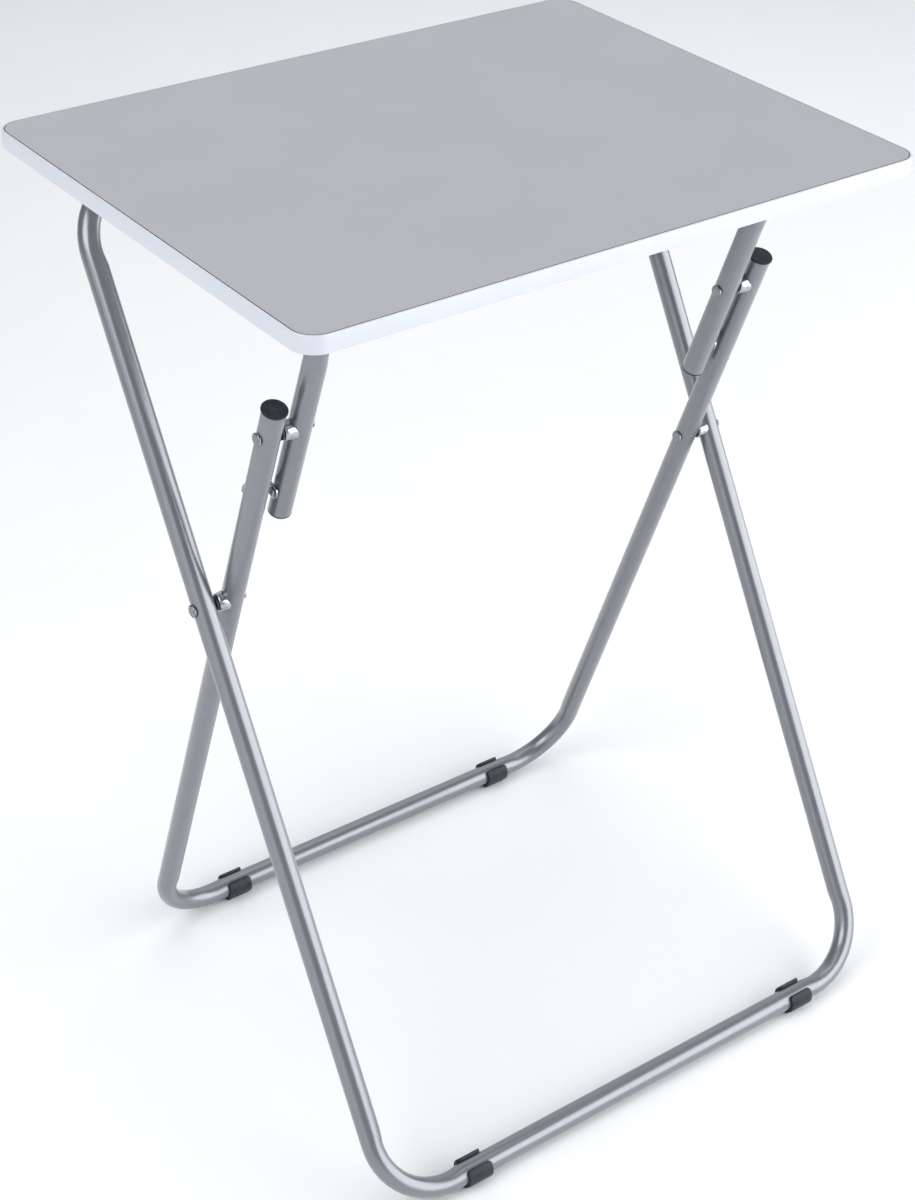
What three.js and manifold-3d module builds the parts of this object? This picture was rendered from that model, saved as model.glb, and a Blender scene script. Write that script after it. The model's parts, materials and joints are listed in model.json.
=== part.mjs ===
// Folding tray table: a laminated board on a steel-tube scissor frame that folds flat.
//
// Millimetres, +Z up, front towards -Y. The origin is on the floor under the middle of the
// table's bounding box, and the table stands open.
//
// Four bodies make a four-bar linkage, seen from the side:
//   outer legs   a closed ring of tube, foot bar at the front, top bar under the rear of the board
//   inner legs   a U of tube, foot bar at the rear, two open top ends with caps
//   link         a small upturned U of tube whose cross bar turns under the front of the board
//   board        turns on the link's cross bar and rests on the outer legs' top bar
//
// Each body is a group whose own Z runs along its tubes, with its origin on a pivot.

import * as THREE from 'three';
import { mergeVertices } from 'three/addons/utils/BufferGeometryUtils.js';
import Module from 'manifold-3d';

// ------------------------------------------------------------------ driving dimensions (mm)

const GAP = 0.3; // clearance between pieces that touch

const TABLE_HEIGHT = 659;
const BOARD_WIDTH = 483;
const BOARD_DEPTH = 380;
const BOARD_THICKNESS = 12;
const BOARD_CORNER = 17;
const BAND_THICKNESS = 1.5;
const LAMINATE_THICKNESS = 1;
const BACKER_THICKNESS = 1.2;

const TUBE_RADIUS = 8;
const TUBE_WALL = 1;
const FOOT_BAR_HEIGHT = 11; // centre of both foot bars above the floor
const TOP_BAR_DROP = 11; // centre of both top bars below the board

const OUTER_HALF_WIDTH = 223; // to the middle of the tube
const INNER_HALF_WIDTH = 201;
const LINK_HALF_WIDTH = 178;
const FOOT_BEND = 50;
const OUTER_TOP_BEND = 45;
const LINK_BEND = 40;

const OUTER_TILT = THREE.MathUtils.degToRad(30.75); // off upright, top leaning back
const INNER_TILT = THREE.MathUtils.degToRad(19.6); // off upright, top leaning forward
const MAIN_PIVOT_HEIGHT = 389;
const INNER_BEYOND_PIVOT = 22.6; // inner leg tube above the link pivot
const LINK_BEYOND_PIVOT = 78; // link tube below the link pivot

const FOOT_LENGTH = 20;
const FOOT_RADIUS = 10.6;
const FOOT_SLOT = THREE.MathUtils.degToRad(70); // left open over the bar
const FOOT_PAD = 9; // flat sole, fore and aft
const OUTER_FOOT_X = 154;
const INNER_FOOT_X = 131;

const RIVET_RADIUS = 2.4;
const RIVET_HEAD_RADIUS = 4.6;
const RIVET_HEAD_HEIGHT = 1.4;
const RIVET_TAIL_RADIUS = 3.3;
const RIVET_TAIL_HEIGHT = 1.3;
const SPACER = { endRadius: 6.2, saddleRadius: 7, lap: 3 }; // lap: how far it reaches round its tube
const WASHER = { endRadius: 6.4, saddleRadius: 6.4, lap: 1 };
const WASHER_THICKNESS = 0.8;

const CAP_RADIUS = 8.8;
const CAP_HEIGHT = 1.4;
const CAP_STEM = 12;
const PLUG_HEIGHT = 1.1;
const PLUG_STEM = 10;
const STEM_RADIUS = 6.2;

const HOOK_LENGTH = 9; // along the link tube
const HOOK_THICKNESS = 1.6;
const HOOK_BELOW_PIVOT = 57;
const HOOK_TIP = 4; // past the middle of the inner leg
const HOOK_RIVET_RADIUS = 1.6;
const HOOK_RIVET_HEAD = 3;
const HOOK_RIVET_DEPTH = 4; // into the tube

const CLIP_LENGTH = 24;
const CLIP_REACH = 23; // flange, fore and aft of the bar
const CLIP_WALL = 2.6;
const LINK_CLIP_X = 95;
const REST_CLIP_X = 125;
const REST_MOUTH_REAR = THREE.MathUtils.degToRad(32); // the seat ends here, above level
const REST_MOUTH_FRONT = THREE.MathUtils.degToRad(184); // and here, just below level
const SCREW_REACH = 17.5;
const SCREW_RADIUS = 1.8;
const SCREW_HEAD_RADIUS = 3.8;
const SCREW_HEAD_HEIGHT = 2;
const SCREW_DEPTH = 6.5; // into the core

const TUBE_SIDES = 20;
const BORE_SIDES = 12;
const BEND_STEPS = 6;
const ROUND_SIDES = 16;
const HOLE_SIDES = 12;

// ------------------------------------------------------------------ linkage

const UNDERSIDE = TABLE_HEIGHT - BOARD_THICKNESS;
const PIVOT_TO_TOP_BARS = UNDERSIDE - TOP_BAR_DROP - MAIN_PIVOT_HEIGHT;
const OUTER_UPPER = PIVOT_TO_TOP_BARS / Math.cos(OUTER_TILT);
const LINK_TO_PIVOT = PIVOT_TO_TOP_BARS / Math.cos(INNER_TILT);
// The link pivot's place makes the four pivots fall in line when the table is folded.
const halfTurn = (tilt) => Math.tan(Math.PI / 4 - tilt / 2);
const INNER_UPPER = (PIVOT_TO_TOP_BARS * (halfTurn(OUTER_TILT) + halfTurn(INNER_TILT))) / 2;
const LINK_UPPER = LINK_TO_PIVOT - INNER_UPPER;
const OUTER_LOWER = (MAIN_PIVOT_HEIGHT - FOOT_BAR_HEIGHT) / Math.cos(OUTER_TILT);
const INNER_LOWER = (MAIN_PIVOT_HEIGHT - FOOT_BAR_HEIGHT) / Math.cos(INNER_TILT);

const REST_BAR_BEHIND = PIVOT_TO_TOP_BARS * Math.tan(OUTER_TILT);
const LINK_BAR_AHEAD = PIVOT_TO_TOP_BARS * Math.tan(INNER_TILT);
const TOP_BAR_Y = (REST_BAR_BEHIND + LINK_BAR_AHEAD) / 2; // fore and aft of the board's middle
const MAIN_PIVOT_Y = TOP_BAR_Y - REST_BAR_BEHIND;
const FRONT_BAR_Y = MAIN_PIVOT_Y - (MAIN_PIVOT_HEIGHT - FOOT_BAR_HEIGHT) * Math.tan(OUTER_TILT);

// The board's middle is behind the origin, because the front feet reach past the board.
const BOARD_Y = -(FRONT_BAR_Y - FOOT_RADIUS + BOARD_DEPTH / 2) / 2;

// ------------------------------------------------------------------ materials

const finish = (color, roughness, metalness) =>
  new THREE.MeshStandardMaterial({ color, roughness, metalness });

const paintedSteel = () => finish(0x9a9ea8, 0.38, 0.75);
const brightSteel = () => finish(0xd6d8dc, 0.18, 1);
const darkPlastic = () => finish(0x2f3238, 0.45, 0);
const greyLaminate = () => finish(0xb2b2b9, 0.55, 0);
const silverEdging = () => finish(0xdee4f0, 0.25, 0.2);
const backingSheet = () => finish(0xb8b8ba, 0.7, 0);
const pressedBoard = () => finish(0xa98a5f, 0.85, 0);

// ------------------------------------------------------------------ solids

const wasm = await Module();
wasm.setup();

/** Turns a closed geometry, of either winding, into a manifold solid. */
function solidOf(geometry) {
  const bare = geometry.index ? geometry.toNonIndexed() : geometry.clone();
  bare.deleteAttribute('normal');
  bare.deleteAttribute('uv');
  const merged = mergeVertices(bare, 1e-3);
  const points = merged.getAttribute('position');
  const corners = Uint32Array.from(merged.index.array);
  const [a, b, c] = [new THREE.Vector3(), new THREE.Vector3(), new THREE.Vector3()];
  let volume = 0;
  for (let i = 0; i < corners.length; i += 3) {
    a.fromBufferAttribute(points, corners[i]);
    b.fromBufferAttribute(points, corners[i + 1]);
    c.fromBufferAttribute(points, corners[i + 2]);
    volume += a.dot(b.cross(c));
  }
  if (volume < 0) corners.reverse();
  const vertProperties = Float32Array.from(points.array);
  return new wasm.Manifold(new wasm.Mesh({ numProp: 3, vertProperties, triVerts: corners }));
}

/** Turns a manifold solid back into a geometry. */
function geometryOf(solid) {
  const mesh = solid.getMesh();
  const geometry = new THREE.BufferGeometry();
  geometry.setAttribute('position', new THREE.BufferAttribute(mesh.vertProperties, 3));
  geometry.setIndex(new THREE.BufferAttribute(mesh.triVerts, 1));
  return geometry;
}

/** A geometry with each of the tools cut away from it. */
function cutBy(geometry, ...tools) {
  return geometryOf(tools.reduce((solid, tool) => solid.subtract(solidOf(tool)), solidOf(geometry)));
}

/** Points evenly round a circle. */
function circlePoints(radius, sides) {
  return Array.from({ length: sides }, (_, i) => {
    const angle = (2 * Math.PI * (i + 0.5)) / sides;
    return new THREE.Vector2(radius * Math.cos(angle), radius * Math.sin(angle));
  });
}

/** A cylinder along X between two x values. */
function rodAlongX(radius, from, to, y = 0, z = 0, sides = HOLE_SIDES) {
  const rod = new THREE.CylinderGeometry(radius, radius, to - from, sides);
  return rod.rotateZ(-Math.PI / 2).translate((from + to) / 2, y, z);
}

/** A cylinder along Z between two z values. */
function rodAlongZ(radius, from, to, x = 0, y = 0, sides = HOLE_SIDES) {
  const rod = new THREE.CylinderGeometry(radius, radius, to - from, sides);
  return rod.rotateX(Math.PI / 2).translate(x, y, (from + to) / 2);
}

/** A turned piece about the X axis, from [radius, x] pairs that start and end on the axis. */
function turnedAlongX(profile, sides = ROUND_SIDES) {
  const points = profile.map(([radius, x]) => new THREE.Vector2(radius, x));
  return new THREE.LatheGeometry(points, sides).rotateZ(-Math.PI / 2);
}

/** A turned piece about the Z axis, from [radius, z] pairs that start and end on the axis. */
function turnedAlongZ(profile, sides = ROUND_SIDES) {
  const points = profile.map(([radius, z]) => new THREE.Vector2(radius, z));
  return new THREE.LatheGeometry(points, sides).rotateX(Math.PI / 2);
}

/** A profile in the Y-Z plane drawn out along X, centred on x = 0. */
function profileAlongX(shape, length, curveSegments = 8) {
  const settings = { depth: length, bevelEnabled: false, curveSegments };
  const geometry = new THREE.ExtrudeGeometry(shape, settings).translate(0, 0, -length / 2);
  const along = new THREE.Matrix4().makeBasis(
    new THREE.Vector3(0, 1, 0),
    new THREE.Vector3(0, 0, 1),
    new THREE.Vector3(1, 0, 0),
  );
  return geometry.applyMatrix4(along);
}

// ------------------------------------------------------------------ bent tube

/** A path through straight runs and round bends, with one step to a run and several to a bend. */
class BentPath extends THREE.Curve {
  constructor(corners, bends) {
    super();
    this.stations = [];
    corners.forEach((corner, i) => {
      const before = corners[i - 1];
      const after = corners[i + 1];
      if (before && after) this.addBend(before, corner, after, bends[i - 1]);
      else if (after) this.addStation(corner, after.clone().sub(corner));
      else this.addStation(corner, corner.clone().sub(before));
    });
  }

  addStation(point, tangent) {
    this.stations.push({ point, tangent: tangent.clone().normalize() });
  }

  /** A square bend of the given radius at a corner. */
  addBend(before, corner, after, radius) {
    const arriving = corner.clone().sub(before).normalize();
    const leaving = after.clone().sub(corner).normalize();
    const centre = corner.clone().addScaledVector(arriving, -radius).addScaledVector(leaving, radius);
    for (let i = 0; i <= BEND_STEPS; i += 1) {
      const angle = (Math.PI / 2) * (i / BEND_STEPS);
      const point = centre
        .clone()
        .addScaledVector(leaving, -radius * Math.cos(angle))
        .addScaledVector(arriving, radius * Math.sin(angle));
      const tangent = arriving
        .clone()
        .multiplyScalar(Math.cos(angle))
        .addScaledVector(leaving, Math.sin(angle));
      this.addStation(point, tangent);
    }
  }

  get steps() {
    return this.stations.length - 1;
  }

  /** Stations are visited evenly, however far apart they are. */
  getUtoTmapping(u) {
    return u;
  }

  stationAt(t) {
    return this.stations[Math.round(t * this.steps)];
  }

  getPoint(t, target = new THREE.Vector3()) {
    return target.copy(this.stationAt(t).point);
  }

  getTangent(t, target = new THREE.Vector3()) {
    return target.copy(this.stationAt(t).tangent);
  }
}

/** Steel tube bent through corners given as [x, z] pairs in a body's own plane. */
function bentTube(corners, bends) {
  const path = new BentPath(corners.map(([x, z]) => new THREE.Vector3(x, 0, z)), bends);
  const section = new THREE.Shape(circlePoints(TUBE_RADIUS, TUBE_SIDES));
  section.holes.push(new THREE.Path(circlePoints(TUBE_RADIUS - TUBE_WALL, BORE_SIDES)));
  return new THREE.ExtrudeGeometry(section, { steps: path.steps, extrudePath: path });
}

/** Bent tube whose two ends meet and are welded, so that it keeps its walls but no end faces. */
function bentRing(corners, bends) {
  const tube = bentTube(corners, bends);
  const walls = tube.groups[1];
  const positions = tube.getAttribute('position').array;
  const kept = positions.slice(walls.start * 3, (walls.start + walls.count) * 3);
  return new THREE.BufferGeometry().setAttribute('position', new THREE.BufferAttribute(kept, 3));
}

// ------------------------------------------------------------------ shared pieces

/** Adds a named mesh to a body. */
function addPiece(body, name, geometry, material) {
  const mesh = new THREE.Mesh(geometry, material);
  mesh.name = name;
  body.add(mesh);
  return mesh;
}

const SIDES = [
  { side: 'left', sign: -1 },
  { side: 'right', sign: 1 },
];

/** A rivet along X, with its factory head at the low x end and its tail at the high end. */
function pivotRivet(from, to) {
  const headFace = from - GAP;
  const tailFace = to + GAP;
  return turnedAlongX([
    [0, headFace - RIVET_HEAD_HEIGHT],
    [RIVET_HEAD_RADIUS * 0.7, headFace - RIVET_HEAD_HEIGHT * 0.8],
    [RIVET_HEAD_RADIUS, headFace - RIVET_HEAD_HEIGHT * 0.25],
    [RIVET_HEAD_RADIUS, headFace],
    [RIVET_RADIUS, headFace],
    [RIVET_RADIUS, tailFace],
    [RIVET_TAIL_RADIUS, tailFace],
    [RIVET_TAIL_RADIUS, tailFace + RIVET_TAIL_HEIGHT * 0.4],
    [RIVET_TAIL_RADIUS * 0.6, tailFace + RIVET_TAIL_HEIGHT],
    [0, tailFace + RIVET_TAIL_HEIGHT],
  ]);
}

/**
 * A bored collar along X from a flat end to a saddle that fits a tube along Z.
 * The tube's middle is at tubeX, and the flat end is at endX on one side of it.
 */
function saddleCollar({ endRadius, saddleRadius, lap }, tubeX, endX, z) {
  const sign = Math.sign(endX - tubeX);
  const saddleX = tubeX + sign * (TUBE_RADIUS - lap);
  const bore = RIVET_RADIUS + GAP;
  const ring = turnedAlongX([
    [bore, endX],
    [endRadius, endX],
    [saddleRadius, saddleX],
    [bore, saddleX],
    [bore, endX],
  ]);
  const tube = rodAlongZ(TUBE_RADIUS + GAP, -2 * TUBE_RADIUS, 2 * TUBE_RADIUS, tubeX, 0, TUBE_SIDES);
  return cutBy(ring, tube).translate(0, 0, z);
}

/** Where the pieces between two tubes meet, from the low x tube to the high x tube. */
function collarFaces(lowTubeX) {
  const washerEnd = lowTubeX + TUBE_RADIUS + GAP + WASHER_THICKNESS;
  return { washerEnd, spacerEnd: washerEnd + GAP };
}

/** A push-fit foot: a C of plastic round the bar, open at the top, with a flat sole. */
function footGeometry() {
  const inner = TUBE_RADIUS + GAP;
  const [start, end] = [(Math.PI + FOOT_SLOT) / 2, (5 * Math.PI - FOOT_SLOT) / 2];
  const soleAngle = Math.acos(FOOT_PAD / 2 / FOOT_RADIUS);
  const shape = new THREE.Shape();
  shape.absarc(0, 0, FOOT_RADIUS, start, Math.PI + soleAngle, false);
  shape.lineTo(-FOOT_PAD / 2, -FOOT_BAR_HEIGHT);
  shape.lineTo(FOOT_PAD / 2, -FOOT_BAR_HEIGHT);
  shape.absarc(0, 0, FOOT_RADIUS, 2 * Math.PI - soleAngle, end, false);
  shape.absarc(0, 0, inner, end, start, true);
  return profileAlongX(shape, FOOT_LENGTH);
}

/** Holes for a rivet along X, through a tube at tubeX. */
function rivetHole(tubeX, z) {
  return rodAlongX(RIVET_RADIUS + GAP, tubeX - 2 * TUBE_RADIUS, tubeX + 2 * TUBE_RADIUS, 0, z);
}

// ------------------------------------------------------------------ outer legs

const outerLegs = new THREE.Group();
outerLegs.position.set(0, MAIN_PIVOT_Y, MAIN_PIVOT_HEIGHT);
outerLegs.rotation.x = -OUTER_TILT;

// The ring is welded in the middle of its top bar.
const OUTER_CORNERS = [
  [0, OUTER_UPPER],
  [OUTER_HALF_WIDTH, OUTER_UPPER],
  [OUTER_HALF_WIDTH, -OUTER_LOWER],
  [-OUTER_HALF_WIDTH, -OUTER_LOWER],
  [-OUTER_HALF_WIDTH, OUTER_UPPER],
  [0, OUTER_UPPER],
];
const OUTER_BENDS = [OUTER_TOP_BEND, FOOT_BEND, FOOT_BEND, OUTER_TOP_BEND];

addPiece(
  outerLegs,
  'outer_leg_tube',
  cutBy(
    bentRing(OUTER_CORNERS, OUTER_BENDS),
    ...SIDES.map(({ sign }) => rivetHole(sign * OUTER_HALF_WIDTH, 0)),
  ),
  paintedSteel(),
);

for (const { side, sign } of SIDES) {
  const foot = addPiece(outerLegs, `outer_foot_${side}`, footGeometry(), darkPlastic());
  foot.position.set(sign * OUTER_FOOT_X, 0, -OUTER_LOWER);
  foot.rotation.x = OUTER_TILT;
}

// ------------------------------------------------------------------ inner legs

const innerLegs = new THREE.Group();
innerLegs.position.copy(outerLegs.position);
innerLegs.rotation.x = INNER_TILT;

const INNER_TOP = INNER_UPPER + INNER_BEYOND_PIVOT;
const INNER_CORNERS = [
  [-INNER_HALF_WIDTH, INNER_TOP],
  [-INNER_HALF_WIDTH, -INNER_LOWER],
  [INNER_HALF_WIDTH, -INNER_LOWER],
  [INNER_HALF_WIDTH, INNER_TOP],
];

addPiece(
  innerLegs,
  'inner_leg_tube',
  cutBy(
    bentTube(INNER_CORNERS, [FOOT_BEND, FOOT_BEND]),
    ...SIDES.flatMap(({ sign }) => [
      rivetHole(sign * INNER_HALF_WIDTH, 0),
      rivetHole(sign * INNER_HALF_WIDTH, INNER_UPPER),
    ]),
  ),
  paintedSteel(),
);

for (const { side, sign } of SIDES) {
  const foot = addPiece(innerLegs, `inner_foot_${side}`, footGeometry(), darkPlastic());
  foot.position.set(sign * INNER_FOOT_X, 0, -INNER_LOWER);
  foot.rotation.x = -INNER_TILT;

  const cap = turnedAlongZ([
    [0, -CAP_STEM],
    [STEM_RADIUS, -CAP_STEM],
    [STEM_RADIUS, GAP],
    [CAP_RADIUS, GAP],
    [CAP_RADIUS, CAP_HEIGHT * 0.7],
    [CAP_RADIUS - 0.7, CAP_HEIGHT],
    [0, CAP_HEIGHT + 0.3],
  ], TUBE_SIDES);
  const capMesh = addPiece(innerLegs, `top_cap_${side}`, cap, darkPlastic());
  capMesh.position.set(sign * INNER_HALF_WIDTH, 0, INNER_TOP);
}

// ------------------------------------------------------------------ link

const link = new THREE.Group();
link.position.set(0, 0, INNER_UPPER).applyEuler(innerLegs.rotation).add(innerLegs.position);
link.rotation.x = INNER_TILT;

const LINK_CORNERS = [
  [-LINK_HALF_WIDTH, -LINK_BEYOND_PIVOT],
  [-LINK_HALF_WIDTH, LINK_UPPER],
  [LINK_HALF_WIDTH, LINK_UPPER],
  [LINK_HALF_WIDTH, -LINK_BEYOND_PIVOT],
];

/** A stop hook: an L of strip riveted to the link's outer side, reaching behind the inner leg. */
function stopHook(sign) {
  const plateX = LINK_HALF_WIDTH + TUBE_RADIUS + GAP;
  const stopY = TUBE_RADIUS + GAP;
  const tipX = INNER_HALF_WIDTH + HOOK_TIP;
  const outline = [
    [plateX, -HOOK_LENGTH / 2],
    [plateX + HOOK_THICKNESS, -HOOK_LENGTH / 2],
    [plateX + HOOK_THICKNESS, stopY],
    [tipX, stopY],
    [tipX, stopY + HOOK_THICKNESS],
    [plateX, stopY + HOOK_THICKNESS],
  ];
  const shape = new THREE.Shape(outline.map(([x, y]) => new THREE.Vector2(sign * x, y)));
  const strip = new THREE.ExtrudeGeometry(shape, { depth: HOOK_LENGTH, bevelEnabled: false });
  strip.translate(0, 0, -HOOK_LENGTH / 2 - HOOK_BELOW_PIVOT);
  return cutBy(strip, hookRivetHole(sign));
}

/** The hole for the hook's rivet, through the strip and one wall of the link tube. */
function hookRivetHole(sign) {
  const ends = [LINK_HALF_WIDTH, INNER_HALF_WIDTH].map((x) => sign * x).sort((a, b) => a - b);
  return rodAlongX(HOOK_RIVET_RADIUS + GAP, ...ends, 0, -HOOK_BELOW_PIVOT);
}

/** The hook's blind rivet, with its head in the space between link and inner leg. */
function hookRivet(sign) {
  const seat = LINK_HALF_WIDTH + TUBE_RADIUS + HOOK_THICKNESS + 2 * GAP;
  const inside = LINK_HALF_WIDTH + HOOK_RIVET_DEPTH;
  const rivet = turnedAlongX([
    [0, inside],
    [HOOK_RIVET_RADIUS, inside],
    [HOOK_RIVET_RADIUS, seat],
    [HOOK_RIVET_HEAD, seat],
    [HOOK_RIVET_HEAD * 0.7, seat + 1],
    [0, seat + 1.2],
  ], HOLE_SIDES);
  if (sign < 0) rivet.rotateY(Math.PI);
  return rivet.translate(0, 0, -HOOK_BELOW_PIVOT);
}

addPiece(
  link,
  'link_tube',
  cutBy(
    bentTube(LINK_CORNERS, [LINK_BEND, LINK_BEND]),
    ...SIDES.flatMap(({ sign }) => [rivetHole(sign * LINK_HALF_WIDTH, 0), hookRivetHole(sign)]),
  ),
  paintedSteel(),
);

for (const { side, sign } of SIDES) {
  const plug = turnedAlongZ([
    [0, -PLUG_HEIGHT - GAP],
    [TUBE_RADIUS - 0.5, -PLUG_HEIGHT - GAP],
    [TUBE_RADIUS, -PLUG_HEIGHT],
    [TUBE_RADIUS, -GAP],
    [STEM_RADIUS, -GAP],
    [STEM_RADIUS, PLUG_STEM],
    [0, PLUG_STEM],
  ], TUBE_SIDES);
  const plugMesh = addPiece(link, `link_plug_${side}`, plug, darkPlastic());
  plugMesh.position.set(sign * LINK_HALF_WIDTH, 0, -LINK_BEYOND_PIVOT);
  addPiece(link, `stop_hook_${side}`, stopHook(sign), brightSteel());
  addPiece(link, `stop_hook_rivet_${side}`, hookRivet(sign), brightSteel());
}

// ------------------------------------------------------------------ pivots

/**
 * One riveted pivot: a rivet, a dark washer that fits the low x tube, and a bright spacer that
 * fits the high x tube. Each tube is given by its body, its middle and the pivot's place on it.
 */
function addPivot(name, rivetBody, low, high) {
  const rivet = pivotRivet(low.x - TUBE_RADIUS, high.x + TUBE_RADIUS);
  const rivetZ = rivetBody === low.body ? low.z : high.z;
  addPiece(rivetBody, `${name}_rivet`, rivet.translate(0, 0, rivetZ), brightSteel());

  const { washerEnd, spacerEnd } = collarFaces(low.x);
  const washer = saddleCollar(WASHER, low.x, washerEnd, low.z);
  addPiece(low.body, `${name}_washer`, washer, darkPlastic());
  const spacer = saddleCollar(SPACER, high.x, spacerEnd, high.z);
  addPiece(high.body, `${name}_spacer`, spacer, brightSteel());
}

for (const { side, sign } of SIDES) {
  const outerSide = { body: outerLegs, x: sign * OUTER_HALF_WIDTH, z: 0 };
  const innerSide = { body: innerLegs, x: sign * INNER_HALF_WIDTH, z: 0 };
  const innerEnd = { body: innerLegs, x: sign * INNER_HALF_WIDTH, z: INNER_UPPER };
  const linkSide = { body: link, x: sign * LINK_HALF_WIDTH, z: 0 };
  const lowFirst = (a, b) => (a.x < b.x ? [a, b] : [b, a]);
  addPivot(`main_pivot_${side}`, outerLegs, ...lowFirst(outerSide, innerSide));
  addPivot(`link_pivot_${side}`, innerLegs, ...lowFirst(innerEnd, linkSide));
}

// ------------------------------------------------------------------ board

// The board's group has its origin in the middle of the underside.
const board = new THREE.Group();
board.position.set(0, 0, UNDERSIDE);

/** A rectangle with round corners, the board's outline moved in by an inset. */
function boardOutline(inset, PathType = THREE.Shape) {
  const [x, y] = [BOARD_WIDTH / 2 - inset, BOARD_DEPTH / 2 - inset];
  const radius = BOARD_CORNER - inset;
  const outline = new PathType();
  outline.absarc(x - radius, y - radius, radius, 0, Math.PI / 2, false);
  outline.absarc(radius - x, y - radius, radius, Math.PI / 2, Math.PI, false);
  outline.absarc(radius - x, radius - y, radius, Math.PI, 1.5 * Math.PI, false);
  outline.absarc(x - radius, radius - y, radius, 1.5 * Math.PI, 2 * Math.PI, false);
  return outline;
}

/** A sheet of the board between two heights. */
function boardSheet(outline, from, to) {
  const settings = { depth: to - from, bevelEnabled: false, curveSegments: 5 };
  return new THREE.ExtrudeGeometry(outline, settings).translate(0, 0, from);
}

const edging = boardOutline(0);
edging.holes.push(boardOutline(BAND_THICKNESS, THREE.Path));
const INSIDE_EDGING = BAND_THICKNESS + GAP;
const CORE_FROM = BACKER_THICKNESS + GAP;
const CORE_TO = BOARD_THICKNESS - LAMINATE_THICKNESS - GAP;

const CLIPS = SIDES.flatMap(({ side, sign }) => [
  { name: `link_clip_${side}`, x: sign * LINK_CLIP_X, y: -TOP_BAR_Y, profile: linkClipProfile },
  { name: `rest_clip_${side}`, x: sign * REST_CLIP_X, y: TOP_BAR_Y, profile: restClipProfile },
]);
const SCREWS = CLIPS.flatMap(({ name, x, y }) => [
  { name: `${name}_front_screw`, x, y: y - SCREW_REACH },
  { name: `${name}_rear_screw`, x, y: y + SCREW_REACH },
]);

const CLIP_TOP = TOP_BAR_DROP - GAP; // heights in a clip's profile are from the bar's middle
const CLIP_FLANGE = TOP_BAR_DROP - TUBE_RADIUS - 2 * GAP; // thickness
const CLIP_RADIUS = TUBE_RADIUS + GAP + CLIP_WALL;

/** Half of a clip's outline, from the top of one flange down to where it meets the wall. */
function addFlange(shape, sign) {
  const corners = [
    [CLIP_REACH, CLIP_TOP],
    [CLIP_REACH, CLIP_TOP - CLIP_FLANGE],
    [CLIP_RADIUS, CLIP_TOP - CLIP_FLANGE],
  ];
  for (const [y, z] of sign > 0 ? corners : corners.reverse()) shape.lineTo(sign * y, z);
}

/** A closed clip that the link's cross bar turns in. */
function linkClipProfile() {
  const shape = new THREE.Shape();
  shape.moveTo(-CLIP_REACH, CLIP_TOP);
  addFlange(shape, 1);
  shape.absarc(0, 0, CLIP_RADIUS, 0, -Math.PI, true);
  addFlange(shape, -1);
  shape.holes.push(new THREE.Path(circlePoints(TUBE_RADIUS + GAP, TUBE_SIDES)));
  return shape;
}

/** A clip open below and behind, so that the outer legs' top bar leaves it as the table folds. */
function restClipProfile() {
  const inner = TUBE_RADIUS + GAP;
  const shape = new THREE.Shape();
  shape.moveTo(-CLIP_REACH, CLIP_TOP);
  shape.lineTo(CLIP_REACH, CLIP_TOP);
  shape.lineTo(CLIP_REACH, CLIP_TOP - CLIP_FLANGE);
  const lipTop = Math.asin((CLIP_TOP - CLIP_FLANGE) / CLIP_RADIUS);
  shape.absarc(0, 0, CLIP_RADIUS, lipTop, REST_MOUTH_REAR, true);
  shape.absarc(0, 0, inner, REST_MOUTH_REAR, REST_MOUTH_FRONT, false);
  shape.absarc(0, 0, CLIP_RADIUS, REST_MOUTH_FRONT, Math.PI, true);
  addFlange(shape, -1);
  return shape;
}

const holesForScrews = (radius, from, to) => SCREWS.map(({ x, y }) => rodAlongZ(radius, from, to, x, y));
const SCREW_HOLE = SCREW_RADIUS + GAP;
const CORE_HOLE_TOP = CORE_FROM + SCREW_DEPTH + GAP;

addPiece(
  board,
  'board_core',
  cutBy(
    boardSheet(boardOutline(INSIDE_EDGING), CORE_FROM, CORE_TO),
    ...holesForScrews(SCREW_HOLE, -BOARD_THICKNESS, CORE_HOLE_TOP),
  ),
  pressedBoard(),
);
addPiece(
  board,
  'backing_sheet',
  cutBy(
    boardSheet(boardOutline(INSIDE_EDGING), 0, BACKER_THICKNESS),
    ...holesForScrews(SCREW_HOLE, -BOARD_THICKNESS, BOARD_THICKNESS),
  ),
  backingSheet(),
);
addPiece(
  board,
  'top_laminate',
  boardSheet(boardOutline(INSIDE_EDGING), BOARD_THICKNESS - LAMINATE_THICKNESS, BOARD_THICKNESS),
  greyLaminate(),
);
addPiece(board, 'edge_band', boardSheet(edging, 0, BOARD_THICKNESS), silverEdging());

for (const { name, x, y, profile } of CLIPS) {
  const clip = profileAlongX(profile(), CLIP_LENGTH).translate(x, y, -TOP_BAR_DROP);
  const holes = holesForScrews(SCREW_HOLE, -BOARD_THICKNESS, BOARD_THICKNESS);
  addPiece(board, name, cutBy(clip, ...holes), darkPlastic());
}

const SCREW_SEAT = -CLIP_FLANGE - 2 * GAP;
for (const { name, x, y } of SCREWS) {
  const screw = turnedAlongZ([
    [0, SCREW_SEAT - SCREW_HEAD_HEIGHT],
    [SCREW_HEAD_RADIUS * 0.6, SCREW_SEAT - SCREW_HEAD_HEIGHT],
    [SCREW_HEAD_RADIUS, SCREW_SEAT - SCREW_HEAD_HEIGHT * 0.4],
    [SCREW_HEAD_RADIUS, SCREW_SEAT],
    [SCREW_RADIUS, SCREW_SEAT],
    [SCREW_RADIUS, CORE_FROM + SCREW_DEPTH - 1],
    [0, CORE_FROM + SCREW_DEPTH],
  ], HOLE_SIDES);
  addPiece(board, name, screw.translate(x, y, 0), brightSteel());
}

// ------------------------------------------------------------------ assembly

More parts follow.
